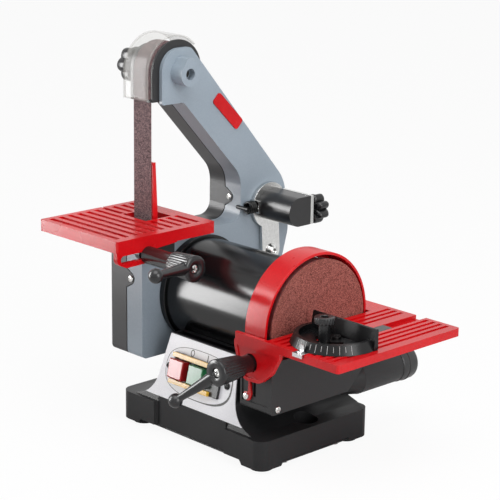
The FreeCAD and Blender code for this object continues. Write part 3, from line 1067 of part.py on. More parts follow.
def mitre_gauge():
    top = "disc_table_top"
    bar = box("bar_blank", ("slot_x - slot_width / 2 + gap", "slot_x + slot_width / 2 - gap"),
              ("mitre_bar_front", "mitre_bar_back"), (f"{top} - slot_depth + gap", f"{top}"))
    pivot, knob = ("slot_x", "mitre_y"), ("slot_x", "mitre_y - mitre_knob_reach")
    low, high = f"{top} + gap", f"{top} + gap + mitre_plate"
    rim = f"{low} + mitre_rim"
    pin = rod("pivot_pin", "z", pivot, (f"{top} - 1", f"{high} + 1"), "3")
    cap = rod("pivot_head", "z", pivot, (f"{high} + 0.2", f"{high} + 2.4"), "5.2")
    width, tip = ("slot_x - 2.6", "slot_x + 2.6"), "mitre_y - mitre_radius - 0.8"
    pointer = fuse("mitre_pointer",
                   box("pointer_foot", width, ("mitre_bar_front + 3", tip), (f"{top} - 1", f"{top} + 1.2")),
                   box("pointer_rise", width, (f"{tip} - 1.2", tip), (f"{top} - 1", f"{rim} - 2")))
    keep(cut("mitre_bar", fuse("mitre_bar_solid", bar, pin, cap, pointer),
             rod("bar_knob_hole", "z", knob, (f"{top} - 9", f"{top} + 1"), "3 + fit")))
    half = common("protractor_half",
                  rod("protractor_disc", "z", pivot, (low, rim), "mitre_radius", "mitre_radius - 4"),
                  box("protractor_side", ("slot_x - 60", "slot_x + 60"), ("mitre_y - 60", "mitre_y + 8"),
                      (low, rim)))
    dish = cut("protractor_dish", half,
               rod("protractor_well", "z", pivot, (high, f"{rim} + 1"), "mitre_radius - 8"))
    face, fence_top = "mitre_y + 6 + fence_thick", f"{low} + fence_height"
    fence = prism("fence_blank", "YZ", [
        ("mitre_y + 6", low), (face, low), (face, fence_top, 1.5), ("mitre_y + 9.5", fence_top, 1),
    ], "slot_x - fence_left", "slot_x + fence_right")
    keep(cut("mitre_head", fuse("mitre_head_solid", dish, fence),
             rod("head_pivot_hole", "z", pivot, (f"{low} - 1", f"{high} + 1"), "3 + fit"),
             arc_slot("swing_slot", "z", pivot, (f"{low} - 1", f"{high} + 1"), "mitre_knob_reach", "3.4",
                      (-90 - SIZES["mitre_swing"], -90 + SIZES["mitre_swing"]), 40)))
    turned = fuse("knob_round", rod("knob_collar", "z", knob, (f"{high} + 0.2", f"{high} + 18"), "5.6"),
                  rod("knob_grip", "z", knob, (f"{high} + 17", f"{high} + 24"), "mitre_knob_radius"))
    keep(fuse("mitre_knob", rod("knob_stem", "z", knob, (f"{top} - slot_depth + gap", f"{high} + 5"), "3"),
              cut("knob_turned", turned, rod("knob_well", "z", knob, (f"{high} + 20", f"{high} + 25"), "3.4"))))


def badge():
    """Bare raised badge along the slanting part of the arm."""
    half, wide = "badge_length / 2", "badge_width / 2"
    plate = prism("arm_badge", "YZ", [(f"-{half}", f"-{wide}", 3), (half, f"-{wide}", 3), (half, wide, 3),
                                      (f"-{half}", wide, 3)], "0", "badge_thick")
    plate.Placement.Rotation = Rotation(Vector(1, 0, 0), -44.5)
    for axis, place in zip("xyz", ("frame_face + 0.05", "badge_y", "badge_z")):
        bind(plate, f"Placement.Base.{axis}", place)
    keep(plate)


def check_document():
    """Stops on any failed object or unsound sub-part."""
    for item in DOC.Objects:
        if {"Invalid", "Error"} & set(item.State):
            raise RuntimeError(f"{item.Label}: {item.State}")
    for item in PARTS:
        if item.Shape.isNull() or not item.Shape.isValid() or not item.Shape.Solids:
            raise RuntimeError(f"{item.Label} is not a sound solid")


def main():
    fill_sheet()
    base_casting()
    screws = base_fittings()
    front_label()
    switch()
    fixings, bolts = motor()
    keep(group("base_screws", *screws, *bolts))
    disc_end(fixings)
    disc_table()
    locks()
    screws = arm()
    top_end()
    belt_drive()
    tension()
    keep(group("arm_screws", *screws, *belt_table()))
    mitre_gauge()
    badge()
    DOC.recompute()
    check_document()
    os.makedirs("parts", exist_ok=True)
    for item in PARTS:
        item.Shape.exportStep(f"parts/{item.Label}.step")
        print(item.Label, len(item.Shape.Solids), round(item.Shape.Volume))


main()
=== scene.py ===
import math

import bpy
import numpy as np
from mathutils import Matrix, Vector


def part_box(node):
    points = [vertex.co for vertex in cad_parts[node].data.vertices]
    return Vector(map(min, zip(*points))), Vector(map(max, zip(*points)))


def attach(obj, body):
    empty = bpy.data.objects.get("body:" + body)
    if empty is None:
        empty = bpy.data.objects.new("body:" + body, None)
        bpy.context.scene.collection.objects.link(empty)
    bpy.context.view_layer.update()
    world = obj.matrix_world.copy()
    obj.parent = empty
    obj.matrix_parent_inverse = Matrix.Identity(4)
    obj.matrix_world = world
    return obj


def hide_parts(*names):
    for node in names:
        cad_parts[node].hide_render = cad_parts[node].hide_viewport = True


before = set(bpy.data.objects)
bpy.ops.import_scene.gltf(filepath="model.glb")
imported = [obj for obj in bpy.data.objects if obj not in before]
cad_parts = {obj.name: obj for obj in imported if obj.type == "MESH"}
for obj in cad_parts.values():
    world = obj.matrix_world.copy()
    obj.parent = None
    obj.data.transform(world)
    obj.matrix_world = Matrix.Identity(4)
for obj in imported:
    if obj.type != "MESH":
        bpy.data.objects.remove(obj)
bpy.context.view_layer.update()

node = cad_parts
MM = 0.001

# The camera stands where the machine is seen from: ahead of the disc and to the operator's right,
# a little above the head of the arm, looking down at the pedestal.
CAMERA_PLACE = (1.162, -1.1157, 0.6209)
CAMERA_YAW, CAMERA_DIP, CAMERA_ROLL = 46.03, 15.12, 0.79
CAMERA_LENS, FILM_WIDTH = 123.1, 36.0


def aim(yaw, dip, roll):
    """Axes of a camera that looks along the yaw, dips below the horizon and rolls: right, up, back."""
    yaw, dip, roll = (math.radians(angle) for angle in (yaw, dip, roll))
    right = Vector((math.cos(yaw), math.sin(yaw), 0))
    ahead = Vector((-math.sin(yaw) * math.cos(dip), math.cos(yaw) * math.cos(dip), -math.sin(dip)))
    up = right.cross(ahead)
    across = right * math.cos(roll) + up * math.sin(roll)
    over = up * math.cos(roll) - right * math.sin(roll)
    return Matrix((across, over, -ahead)).transposed().to_4x4()


lens = bpy.data.cameras.new("bench_camera")
lens.lens, lens.sensor_width, lens.clip_start = CAMERA_LENS, FILM_WIDTH, 0.05
bench_camera = bpy.data.objects.new("bench_camera", lens)
bench_camera.matrix_world = Matrix.Translation(CAMERA_PLACE) @ aim(CAMERA_YAW, CAMERA_DIP, CAMERA_ROLL)
bpy.context.scene.collection.objects.link(bench_camera)
bpy.context.scene.camera = bench_camera

# Base casting: a hollow grey iron box with a waisted pedestal, cast in one, ground flat below and
# sprayed with a coarse satin black that shows as fine pimples in the light.


def wire(tree, *pairs):
    """Joins sockets, each pair being (from node, output, to node, input)."""
    for source, out, target, into in pairs:
        tree.links.new(source.outputs[out], target.inputs[into])


def coat(name, light, dark, rough, grain, depth, mottle=12.0, metal=0.0, gloss=0.5, spread=0.5,
         rough_swing=0.12):
    """A finish: two tones mixed by a slow cloud and a fine grain, whose height also bumps the skin.

    light, dark: the tones; grain: fine features per metre; depth: bump height in metres;
    mottle: slow features per metre; spread: the fine grain's share in mixing the tones;
    rough_swing: how far the cloud takes the roughness to either side."""
    made = bpy.data.materials.new(name)
    made.use_nodes = True
    tree = made.node_tree
    shader = tree.nodes["Principled BSDF"]
    shader.inputs["Metallic"].default_value = metal
    shader.inputs["Specular IOR Level"].default_value = gloss
    place = tree.nodes.new("ShaderNodeTexCoord")
    cloud = tree.nodes.new("ShaderNodeTexNoise")
    cloud.inputs["Scale"].default_value = mottle
    cloud.inputs["Detail"].default_value = 4
    fine = tree.nodes.new("ShaderNodeTexNoise")
    fine.inputs["Scale"].default_value = grain
    fine.inputs["Detail"].default_value = 3
    fine.inputs["Roughness"].default_value = 0.65
    blend = tree.nodes.new("ShaderNodeMix")
    blend.inputs[0].default_value = spread
    tone = tree.nodes.new("ShaderNodeValToRGB")
    tone.color_ramp.elements[0].position, tone.color_ramp.elements[1].position = 0.36, 0.64
    tone.color_ramp.elements[0].color = (*dark, 1)
    tone.color_ramp.elements[1].color = (*light, 1)
    swing = tree.nodes.new("ShaderNodeMapRange")
    swing.inputs["To Min"].default_value = rough - rough_swing
    swing.inputs["To Max"].default_value = rough + rough_swing
    bump = tree.nodes.new("ShaderNodeBump")
    bump.inputs["Strength"].default_value = 1.0
    bump.inputs["Distance"].default_value = depth
    wire(tree, (place, "Object", cloud, "Vector"), (place, "Object", fine, "Vector"),
         (cloud, "Fac", blend, 2), (fine, "Fac", blend, 3), (blend, 0, tone, "Fac"),
         (tone, "Color", shader, "Base Color"), (cloud, "Fac", swing, "Value"),
         (swing, "Result", shader, "Roughness"), (fine, "Fac", bump, "Height"),
         (bump, "Normal", shader, "Normal"))
    return made


def dress(finish, *names, edge=0.5, segments=2):
    """Puts a finish on CAD nodes and rounds their sharp edges by that many millimetres."""
    for name in names:
        part = node[name]
        for slot in part.material_slots:
            slot.material = finish
        if edge:
            join = part.modifiers.new("join", "WELD")
            join.merge_threshold = 0.002 * MM
            soften = part.modifiers.new("edge", "BEVEL")
            soften.width, soften.segments = edge * MM, segments
            soften.limit_method, soften.angle_limit = "ANGLE", math.radians(SHARPEST_KEPT)
            soften.harden_normals = False
            level = part.modifiers.new("level", "WEIGHTED_NORMAL")
            level.keep_sharp = False
            part.data.polygons.foreach_set("use_smooth", [True] * len(part.data.polygons))


SHARPEST_KEPT = 38
base_paint = coat("base_paint", (0.017, 0.017, 0.018), (0.01, 0.01, 0.011), 0.36, 1100, 0.00005,
                  gloss=0.24, spread=0.7)
dress(base_paint, "base_casting", edge=0.9)

# Under the base: a pressed steel plate closes the casting, round rubber feet are pressed into it,
# and a moulded gland and the motor's capacitor sit behind it.


def turned(profile, centre, direction, around=96, shape=None):
    """Rings of a turned shape: each (along, radius) of the profile goes round the direction through
    the centre, and shape(angle, along) multiplies the radius."""
    ahead = np.array(direction, float) / np.linalg.norm(direction)
    side = np.cross((0, 0, 1) if abs(ahead[2]) < 0.9 else (1, 0, 0), ahead)
    side /= np.linalg.norm(side)
    over = np.cross(ahead, side)
    angle = np.linspace(0, 2 * np.pi, around, endpoint=False)
    along, radius = np.array(profile, float).T
    reach = radius[:, None] * (1 if shape is None else shape(angle[None, :], along[:, None]))
    reach = reach * np.ones((1, around))
    return (np.array(centre) + along[:, None, None] * ahead + reach[..., None]
            * (np.cos(angle)[:, None] * side + np.sin(angle)[:, None] * over))


def put(name, points, faces, finish, body, slot, replaced=(), crease=None):
    """Makes an object of millimetre points and their faces, smooth except where two faces meet at
    more than the crease angle, and flat all over if there is none."""
    mesh = bpy.data.meshes.new(name)
    mesh.from_pydata((points * MM).tolist(), [], faces)
    if crease:
        mesh.polygons.foreach_set("use_smooth", [True] * len(mesh.polygons))
        mesh.set_sharp_from_angle(angle=math.radians(crease))
    mesh.materials.append(finish)
    made = bpy.data.objects.new(name, mesh)
    bpy.context.scene.collection.objects.link(made)
    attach(made, body)
    if replaced:
        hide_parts(*replaced)
    return made


def piece(name, stacks, finish, body, slot, replaced=(), crease=35):
    """One object from stacks of closed rings in millimetres, each (rings, around, 3). Quads join each
    ring to the next, a fan to its middle closes each end, and faces are turned outwards."""
    points, faces, start = [], [], 0
    for rings in stacks:
        count, around, _ = rings.shape
        flat = np.vstack([rings.reshape(-1, 3), rings[[0, -1]].mean(1)])
        turn = np.arange(around)
        onward = (turn + 1) % around
        low = np.arange(count - 1)[:, None] * around
        high = low + around
        quads = np.stack([low + turn, low + onward, high + onward, high + turn], -1).reshape(-1, 4)
        last, middle = (count - 1) * around, np.full(around, count * around)
        fans = np.vstack([np.stack([middle, onward, turn], -1),
                          np.stack([middle + 1, last + turn, last + onward], -1)])
        halves = np.vstack([quads[:, :3], quads[:, [0, 2, 3]], fans])
        a, b, c = (flat[halves[:, corner]] - flat.mean(0) for corner in range(3))
        outward = 1 if np.einsum("ij,ij->", a, np.cross(b, c)) > 0 else -1
        faces += (quads[:, ::outward] + start).tolist() + (fans[:, ::outward] + start).tolist()
        points.append(flat)
        start += len(flat)
    put(name, np.vstack(points), faces, finish, body, slot, replaced, crease)


def pan_head(centre, direction, radius=3.3, height=2.1, around=64):
    """Domed screw head with a cross recess: height falls with the square of the distance from the
    middle, less a cross whose depth fades at its edges, then the rim rolls down to the seat."""
    share = np.r_[np.linspace(0.05, 0.8, 14), 0.88, 0.94, 0.98, 1.0, 1.0]
    fall = height * (1 - 0.3 * share ** 2) - np.r_[np.zeros(15), 0.08, 0.25, 0.55, height * 0.7]
    rings = turned(np.c_[fall, share * radius], centre, direction, around)
    angle = np.linspace(0, 2 * np.pi, around, endpoint=False)
    u, v = (share[:, None] * radius * np.abs(wave(angle)) for wave in (np.cos, np.sin))
    arm_half, arm_reach, deepest = 0.11 * radius, 0.66 * radius, 0.9
    arms = np.clip(1.6 - np.minimum(u, v) / arm_half, 0, 1)
    cross = arms * np.clip((arm_reach - np.maximum(u, v)) * 3, 0, 1)
    ahead = np.array(direction, float) / np.linalg.norm(direction)
    return rings - (deepest * cross)[..., None] * ahead


zinc = coat("zinc", (0.74, 0.74, 0.72), (0.5, 0.5, 0.49), 0.26, 900, 0.00002, metal=1.0)
black_sheet = coat("black_sheet", (0.022, 0.022, 0.024), (0.012, 0.012, 0.013), 0.4, 700, 0.00004)
dress(black_sheet, "bottom_plate", "back_plate", "guard_bracket", edge=0.3)
foot_rubber = coat("foot_rubber", (0.022, 0.022, 0.022), (0.012, 0.012, 0.012), 0.8, 500, 0.00008)
dress(foot_rubber, "rubber_feet", edge=0.6)
black_plastic = coat("black_plastic", (0.012, 0.012, 0.013), (0.007, 0.007, 0.008), 0.34, 1400, 0.00003)
dress(black_plastic, "cable_gland", "capacitor", "switch_body", edge=0.5)
dress(zinc, "base_screws", edge=0.3)

# Front panel: a thin satin plate, printed with a fine outline round the switch and the usual 0 and
# I above its two keys. The outline widens towards its lower right as a painted shadow of a step edge.
# The keys are gloss mouldings between two yellow rails.
PANEL_RISE, PANEL_SETBACK, SWITCH_UP = 68.0, 16.9, 37.5
PANEL_FOOT = np.array((0, -71.36, 33.0))
INK_PROUD, INK_SUNK = 0.12, 0.3
STROKE = ((1, -INK_SUNK), (1, INK_PROUD), (-1, INK_PROUD), (-1, -INK_SUNK))
X, Y, Z = np.eye(3)
panel_lean = math.atan2(PANEL_SETBACK, PANEL_RISE)
panel_up = math.sin(panel_lean) * Y + math.cos(panel_lean) * Z
panel_out = -math.cos(panel_lean) * Y + math.sin(panel_lean) * Z
switch_middle = PANEL_FOOT + panel_up * SWITCH_UP / math.cos(panel_lean)


def printed_line(x, height, width, outline):
    """A flat closed stroke on the panel: outline gives (across, up) arrays of its middle line, width
    the stroke's, and each ring is the four corners of the stroke's section there."""
    across, up = outline
    along = np.c_[np.roll(across, -1) - np.roll(across, 1), np.roll(up, -1) - np.roll(up, 1)]
    along /= np.linalg.norm(along, axis=1)[:, None]
    edge = np.c_[along[:, 1], -along[:, 0]] * (np.asarray(width) / 2 * np.ones(len(across)))[:, None]
    corners = []
    for side, rise in STROKE:
        spot = np.c_[across, up] + side * edge
        corners.append(switch_middle + (spot[:, :1] + x) * X + (spot[:, 1:] + height) * panel_up
                       + rise * panel_out)
    return np.stack(corners, 1)


def closed_loop(name, loops, finish, body, slot, replaced=(), crease=None):
    """Closed bands made of rings of corners: the last ring joins the first."""
    points, faces, start = [], [], 0
    for rings in loops:
        count, around, _ = rings.shape
        turn, row = np.arange(around), np.arange(count)[:, None]
        here, there = row * around, (row + 1) % count * around
        onward = (turn + 1) % around
        quads = np.stack([here + turn, there + turn, there + onward, here + onward], -1)
        faces += (quads.reshape(-1, 4) + start).tolist()
        points.append(rings.reshape(-1, 3))
        start += count * around
    put(name, np.vstack(points), faces, finish, body, slot, replaced, crease)


label_print = coat("label_print", (0.83, 0.83, 0.86), (0.66, 0.66, 0.7), 0.42, 2200, 0.00002, spread=0.85)
dress(label_print, "front_label", edge=0)
ink = coat("ink", (0.012, 0.012, 0.012), (0.006, 0.006, 0.006), 0.5, 800, 0.00001)
bend = np.linspace(0, 2 * np.pi, 160, endpoint=False)
oval = [np.sign(wave(bend)) * np.abs(wave(bend)) ** 0.72 * half
        for wave, half in ((np.cos, 47), (np.sin, 24))]
# Stroke width of the outline: a thin printed line all round, widened at the lower right as painted shadow.
outline_painted_shadow = 0.5 + 1.9 * np.clip(np.cos(bend + 0.6), 0, 1) ** 3
zero = [np.cos(bend[::4]) * 2.3, np.sin(bend[::4]) * 3.1]
closed_loop("panel_print", [printed_line(0.5, -0.5, outline_painted_shadow, oval), printed_line(-13, 19, 0.9, zero)],
            ink, "machine", "black_plastic")
one_x, one_half, one_up = 9, 0.5, np.linspace(15.9, 22.1, 6)[:, None] * panel_up
one = [switch_middle + (one_x + one_half * side) * X + rise * panel_out + one_up for side, rise in STROKE]
piece("panel_one", [np.stack(one, 1)], ink, "machine", "black_plastic")
off_red = coat("off_red", (0.42, 0.012, 0.014), (0.3, 0.008, 0.01), 0.2, 300, 0.00001, gloss=0.45)
dress(off_red, "off_button", edge=0)
on_green = coat("on_green", (0.02, 0.16, 0.06), (0.014, 0.11, 0.04), 0.2, 300, 0.00001, gloss=0.45)
dress(on_green, "on_button", edge=0)
rail_yellow = coat("rail_yellow", (0.82, 0.5, 0.06), (0.55, 0.3, 0.02), 0.3, 500, 0.00003)
dress(rail_yellow, "switch_rails", edge=0.3)
screw_black = coat("screw_black", (0.03, 0.03, 0.03), (0.015, 0.015, 0.016), 0.3, 900, 0.00002, metal=0.6)
piece("panel_screws", [pan_head(switch_middle + side * 41.5 * X + 0.1 * panel_out, panel_out)
                       for side in (-1, 1)], screw_black, "machine", "zinc", ["switch_screws"])

# Motor: a rolled steel shell between two turned bells, in gloss black enamel. Its iron, shaft and
# bearings are bare inside.
motor_paint = coat("motor_paint", (0.005, 0.005, 0.0055), (0.003, 0.003, 0.0035), 0.2, 260, 0.00001,
                   gloss=0.4, rough_swing=0.04)
dress(motor_paint, "motor_shell", "rear_bell", "front_bell", edge=0.6)
dark_iron = coat("dark_iron", (0.2, 0.2, 0.21), (0.1, 0.1, 0.11), 0.5, 500, 0.0001, metal=0.8)
dress(dark_iron, "stator", "rotor_core", edge=0)
turned_steel = coat("turned_steel", (0.6, 0.6, 0.61), (0.42, 0.42, 0.44), 0.28, 600, 0.00002, metal=1.0)
dress(turned_steel, "motor_shaft", "motor_bearings", "table_tilt_pins", "top_wheel_bearings",
      "rear_axle", "slide_block", edge=0.2)
cast_wheel = coat("cast_wheel", (0.7, 0.7, 0.71), (0.5, 0.5, 0.51), 0.35, 500, 0.00004, metal=1.0)
dress(cast_wheel, "disc_plate", "top_wheel", "drive_wheel", "rear_wheel", edge=0.4)

# Disc end: a cast dust box in a paint like the base's hangs behind the disc, with a moulded hose spout
# at the back, a pressed guard over the top, and zinc pan screws. The guard's red enamel is also on
# both tables, the platen and the badge.
box_paint = coat("box_paint", (0.027, 0.027, 0.028), (0.019, 0.019, 0.02), 0.4, 1100, 0.00006,
                 gloss=0.28, spread=0.7)
dress(box_paint, "disc_box", edge=0.7)
spout = [(0, 15.6), (0, 16.6), (0.5, 17.6), (1.6, 18.1), (9, 18.1), (9.5, 18.7), (12, 18.7), (12.5, 18.1),
         (19.2, 18.1), (20.8, 17.7), (21.9, 17), (22, 16.2), (21.4, 15.6), (12, 15.5), (0, 15.5)]
port_low, port_high = (np.array(corner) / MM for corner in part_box("dust_port"))
port_middle = (port_low + port_high) / 2
port_middle[1] = port_low[1]
spout_black = coat("spout_black", (0.026, 0.026, 0.027), (0.016, 0.016, 0.017), 0.34, 1200, 0.00003)
closed_loop("spout_ring", [turned(spout, port_middle, Y)[:, ::-1]], spout_black, "machine", "black_plastic",
            ["dust_port"], 35)
box_heads = [pan_head((102, -55, 62), X), pan_head((69.5, -64.1, 69), -Y)]
plate_heads = [pan_head((68.5, y, z), X) for y, z in ((5, 174), (-31.4, 111), (41.4, 111))]
piece("disc_end_heads", box_heads + plate_heads, zinc, "machine", "zinc", ["disc_end_screws"])

table_red = coat("table_red", (0.66, 0.006, 0.01), (0.5, 0.003, 0.006), 0.26, 420, 0.00002, gloss=0.3,
                 spread=0.3)
dress(table_red, "disc_table", "belt_table", "disc_guard", "platen", edge=0.45)
dress(table_red, "arm_badge", edge=0.3)
pointer_red = coat("pointer_red", (0.6, 0.008, 0.01), (0.45, 0.006, 0.008), 0.25, 420, 0.00003)
dress(pointer_red, "angle_pointer", edge=0.3)


def grit(name, light, dark, backing, grain):
    """Abrasive: crushed grains as cells, each its own tone between dark and light, thinning out to
    the backing colour, with the grains standing up as bumps."""
    made = coat(name, light, dark, 0.75, grain, 0.0002, mottle=40, gloss=0.3, spread=1.0)
    tree = made.node_tree
    shader = tree.nodes["Principled BSDF"]
    place = next(item for item in tree.nodes if item.type == "TEX_COORD")
    cells = tree.nodes.new("ShaderNodeTexVoronoi")
    cells.inputs["Scale"].default_value = grain
    tone = tree.nodes.new("ShaderNodeValToRGB")
    for spot, colour in zip((0.0, 0.35, 0.75), (dark, backing, light)):
        mark = tone.color_ramp.elements[0] if spot == 0 else tone.color_ramp.elements.new(spot)
        mark.position, mark.color = spot, (*colour, 1)
    tone.color_ramp.elements[-1].color = (*light, 1)
    grey = tree.nodes.new("ShaderNodeSeparateColor")
    bump = tree.nodes.new("ShaderNodeBump")
    bump.inputs["Distance"].default_value = 0.0004
    wire(tree, (place, "Object", cells, "Vector"), (cells, "Color", grey, "Color"),
         (grey, "Red", tone, "Fac"), (tone, "Color", shader, "Base Color"),
         (cells, "Distance", bump, "Height"), (bump, "Normal", shader, "Normal"))
    return made


grit_disc = grit("grit_disc", (0.4, 0.13, 0.105), (0.07, 0.017, 0.014), (0.2, 0.05, 0.04), 1500)
dress(grit_disc, "sanding_disc", edge=0)

# Clamping levers: one black nylon moulding each, on a screw let into the hub. The hub is fluted to
# near its flat end, and a tapering arm runs out from it to a ball.


def flutes(count, low, high, depth):
    """Radius factor of a fluted hub: waves round it between two heights, fading at both."""
    def factor(angle, along):
        fade = np.clip((along - low) / 1.5, 0, 1) * np.clip((high - along) / 1.5, 0, 1)
        return 1 - depth * fade * (0.5 + 0.5 * np.cos(count * angle)) ** 2
    return factor


def lever(name, root, out, aim_angle, first, second, neck, body, node_name):
    """A clamping lever: hub turned about the out direction with its flutes, an arm whose radius falls
    from root to tip and swells to a ball, and a screw in the end; the aim is at an angle between
    first and second, raised towards out."""
    root = np.array(root, float)
    top = neck + 31
    hub = [(0, 8), (0.6, 8.5), (neck - 1, 8.5), (neck + 0.2, 9.2), (neck + 1, 10.5), (neck + 2, 10.8),
           (neck + 9, 11.3), (neck + 16, 11.8), (neck + 23, 12.3), (top - 2.2, 12.7), (top - 0.8, 12.7),
           (top, 12), (top, 5.2), (top - 0.4, 4.7), (top - 3.2, 4.6)]
    ridge = flutes(26, neck + 1, top - 2.5, 0.06)
    rise = math.radians(18)
    across = math.cos(aim_angle) * first + math.sin(aim_angle) * second
    aim_way = math.cos(rise) * across + math.sin(rise) * out
    ball, ball_far, waist = 7, 60, 3.6
    far = np.r_[np.linspace(0, 54, 19), ball_far - ball * np.cos(np.linspace(0.5, math.pi, 18))]
    taper = 7.2 - 3.6 * np.clip(far / 52, 0, 1) ** 0.85
    swell = np.sqrt(np.clip(ball ** 2 - (far - ball_far) ** 2, 0.0004, None))
    reach = np.where(far > 54.2, np.maximum(swell, np.where(far < 57, waist, 0)), taper)
    arm = turned(np.c_[far, reach], root + out * (top - 9), aim_way, 40)
    piece(name, [turned(hub, root, out, 260, ridge), arm], lever_black, body, "black_plastic",
          [node_name], 62)
    piece(name + "_screw", [pan_head(root + out * (top - 3.2), out, 4.2, 2.2)], zinc, body, "zinc")


lever_black = coat("lever_black", (0.01, 0.01, 0.011), (0.006, 0.006, 0.007), 0.25, 1500, 0.00002)
lever("disc_clamp", (78.6, -63.3, 105), -Y, math.radians(219.4), X, Z, 18, "side_table_lock", "disc_lock")
lever("belt_clamp", (-31.6, -99, 192), X, math.radians(263.5), -Z, Y, 37, "front_table_lock", "belt_lock")

# Arm: two thin castings meet on the belt's middle, the near one in pale grey enamel and the far one
# a dark moulded cover with ears that lap over it, held by pan screws.
arm_grey = coat("arm_grey", (0.3, 0.355, 0.41), (0.265, 0.318, 0.37), 0.34, 700, 0.00002)
dress(arm_grey, "arm_frame", edge=1.0)
axle_brown = coat("axle_brown", (0.09, 0.085, 0.08), (0.05, 0.047, 0.045), 0.4, 600, 0.00004, metal=0.7)
dress(axle_brown, "top_axle", edge=0.3)
cover_grey = coat("cover_grey", (0.05, 0.05, 0.052), (0.036, 0.036, 0.038), 0.34, 900, 0.00004, gloss=0.35)
dress(cover_grey, "belt_cover", edge=1.0)
seats = (((-88.5, -72, 151), -Y), ((-88.5, 60.5, 214), -Y), ((-119, -63, 79.7), -X), ((-67, -59, 179.5), X),
         ((-67, -48, 179.5), X))
piece("arm_heads", [pan_head(*seat) for seat in seats], zinc, "machine", "zinc", ["arm_screws"])

# Hand knobs: ribbed black mouldings with deep rounded lobes, one on the top axle and one on the
# tracking screw.


def knob(name, low, high, radius, count, depth, centre, direction, body, node_name, stem, collar):
    """A lobed hand knob on a stem and a collar: the profile rounds over at both ends into a dished
    face, and between low and high the radius dips to a valley between each two lobes."""
    neck = low - 3.9
    grip = [(stem, 2.6), (neck, 2.6), (neck, collar), (low, collar), (low + 0.3, radius * 0.72),
            (low + 1, radius * 0.88), (low + 2.4, radius * 0.97), (low + 4, radius), (high - 4.5, radius),
            (high - 2.6, radius * 0.97), (high - 1.1, radius * 0.87), (high - 0.3, radius * 0.7),
            (high, radius * 0.58), (high - 0.8, radius * 0.5), (high - 0.8, radius * 0.3),
            (high, radius * 0.26), (high, radius * 0.05)]

    def lobed(angle, along):
        valley = depth * (1 - np.abs(np.cos(count * angle / 2)))
        return np.where((along > low - 0.1) & (along < high + 0.1), 1 - valley, 1)

    piece(name, [turned(grip, centre, direction, 168, lobed)], lever_black, body, "black_plastic",
          [node_name])


TRACKING_AXIS = (-30, 0, 202)
head_low, head_high = (np.array(corner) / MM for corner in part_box("cover_knob"))
head_axis = (head_low + head_high) / 2 * (0, 1, 1)
knob("head_knob", 132.5, 149.3, 18, 6, 0.2, head_axis, -X, "hood_knob", "cover_knob", 128, 8)
knob("tracking_grip", 119.6, 135.6, 15.5, 7, 0.34, TRACKING_AXIS, Y, "tracking", "tracking_knob", 100, 6)

# Hood: a sheet of tinted clear plastic bent over the top wheel, straight in front and turned in
# along both edges, on a black steel bracket.
WHEEL_Y, WHEEL_Z = -23, 353.43
HOOD_RADIUS, HOOD_DROP, HOOD_END, HOOD_LIP, HOOD_WALL = 36.4, 26, math.radians(44), 2.2, 1.5


def bent_sheet(left, right, straight_rows=9, arc_rows=48, columns=16):
    """Points and faces of the hood. Along it, a straight drop and then an arc about the wheel's axis;
    across it, a lip, the width and a second lip, each lip turned towards the axis."""
    arc = np.linspace(math.pi, HOOD_END, arc_rows)
    way_y = np.r_[np.full(straight_rows, -1.0), np.cos(arc)][:, None]
    way_z = np.r_[np.zeros(straight_rows), np.sin(arc)][:, None]
    lift = np.r_[np.linspace(-HOOD_DROP, 0, straight_rows + 1)[:-1], np.zeros(arc_rows)][:, None]
    across = np.r_[left, left, np.linspace(left + 0.4, right - 0.4, columns - 4), right, right]
    reach = HOOD_RADIUS - np.r_[HOOD_LIP, 0.4, np.zeros(columns - 4), 0.4, HOOD_LIP]
    rows = straight_rows + arc_rows
    points = np.stack([np.broadcast_to(across, (rows, columns)), WHEEL_Y + way_y * reach,
                       WHEEL_Z + lift + way_z * reach], -1)
    first = np.arange(rows - 1)[:, None] * columns + np.arange(columns - 1)
    faces = np.stack([first, first + 1, first + columns + 1, first + columns], -1)
    return points.reshape(-1, 3), faces.reshape(-1, 4).tolist()


hood_milk = coat("hood_milk", (0.62, 0.61, 0.58), (0.54, 0.53, 0.5), 0.2, 200, 0.000005, mottle=20,
                 gloss=0.4, rough_swing=0.04)
hood_milk.node_tree.nodes["Principled BSDF"].inputs["Alpha"].default_value = 0.22
hood_low, hood_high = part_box("clear_guard")
hood_sheet = put("hood_sheet", *bent_sheet(hood_low[0] / MM, hood_high[0] / MM), hood_milk, "machine",
                 "clear_plastic", ["clear_guard"], 180)
wall = hood_sheet.modifiers.new("wall", "SOLIDIFY")
wall.thickness, wall.offset = HOOD_WALL * MM, -1

# Belt and its tension: the cloth belt runs over cast wheels. The steel lever behind carries the rear
# wheel, swings on a domed bolt, is pushed by a spring and is pulled back by a moulded handle.
grit_belt = grit("grit_belt", (0.33, 0.21, 0.215), (0.035, 0.016, 0.02), (0.12, 0.066, 0.072), 1300)
dress(grit_belt, "sanding_belt", edge=0)
dress(zinc, "drive_nut", edge=0.3)
bright_steel = coat("bright_steel", (0.78, 0.78, 0.77), (0.56, 0.56, 0.55), 0.22, 500, 0.00001, metal=1.0)
dress(bright_steel, "tension_lever", edge=0.4)
handle_black = coat("handle_black", (0.018, 0.018, 0.019), (0.011, 0.011, 0.012), 0.3, 1300, 0.00003)
dress(handle_black, "tension_handle", edge=1.8, segments=4)
spring_black = coat("spring_black", (0.012, 0.012, 0.012), (0.006, 0.006, 0.006), 0.3, 800, 0.00002,
                    metal=0.5)
dress(spring_black, "tension_spring", "spring_pin", edge=0)
dome = [(0, 7.2), (0.6, 7.2), (1.2, 6.9), (2.2, 6.2), (3.2, 5.2), (4.0, 4.0), (4.4, 3.0), (4.2, 2.6),
        (2.4, 2.4)]
piece("lever_bolt_head", [turned(dome, (-67.1, 101, 154), X, 72)], bright_steel, "machine", "zinc",
      ["lever_bolt"])

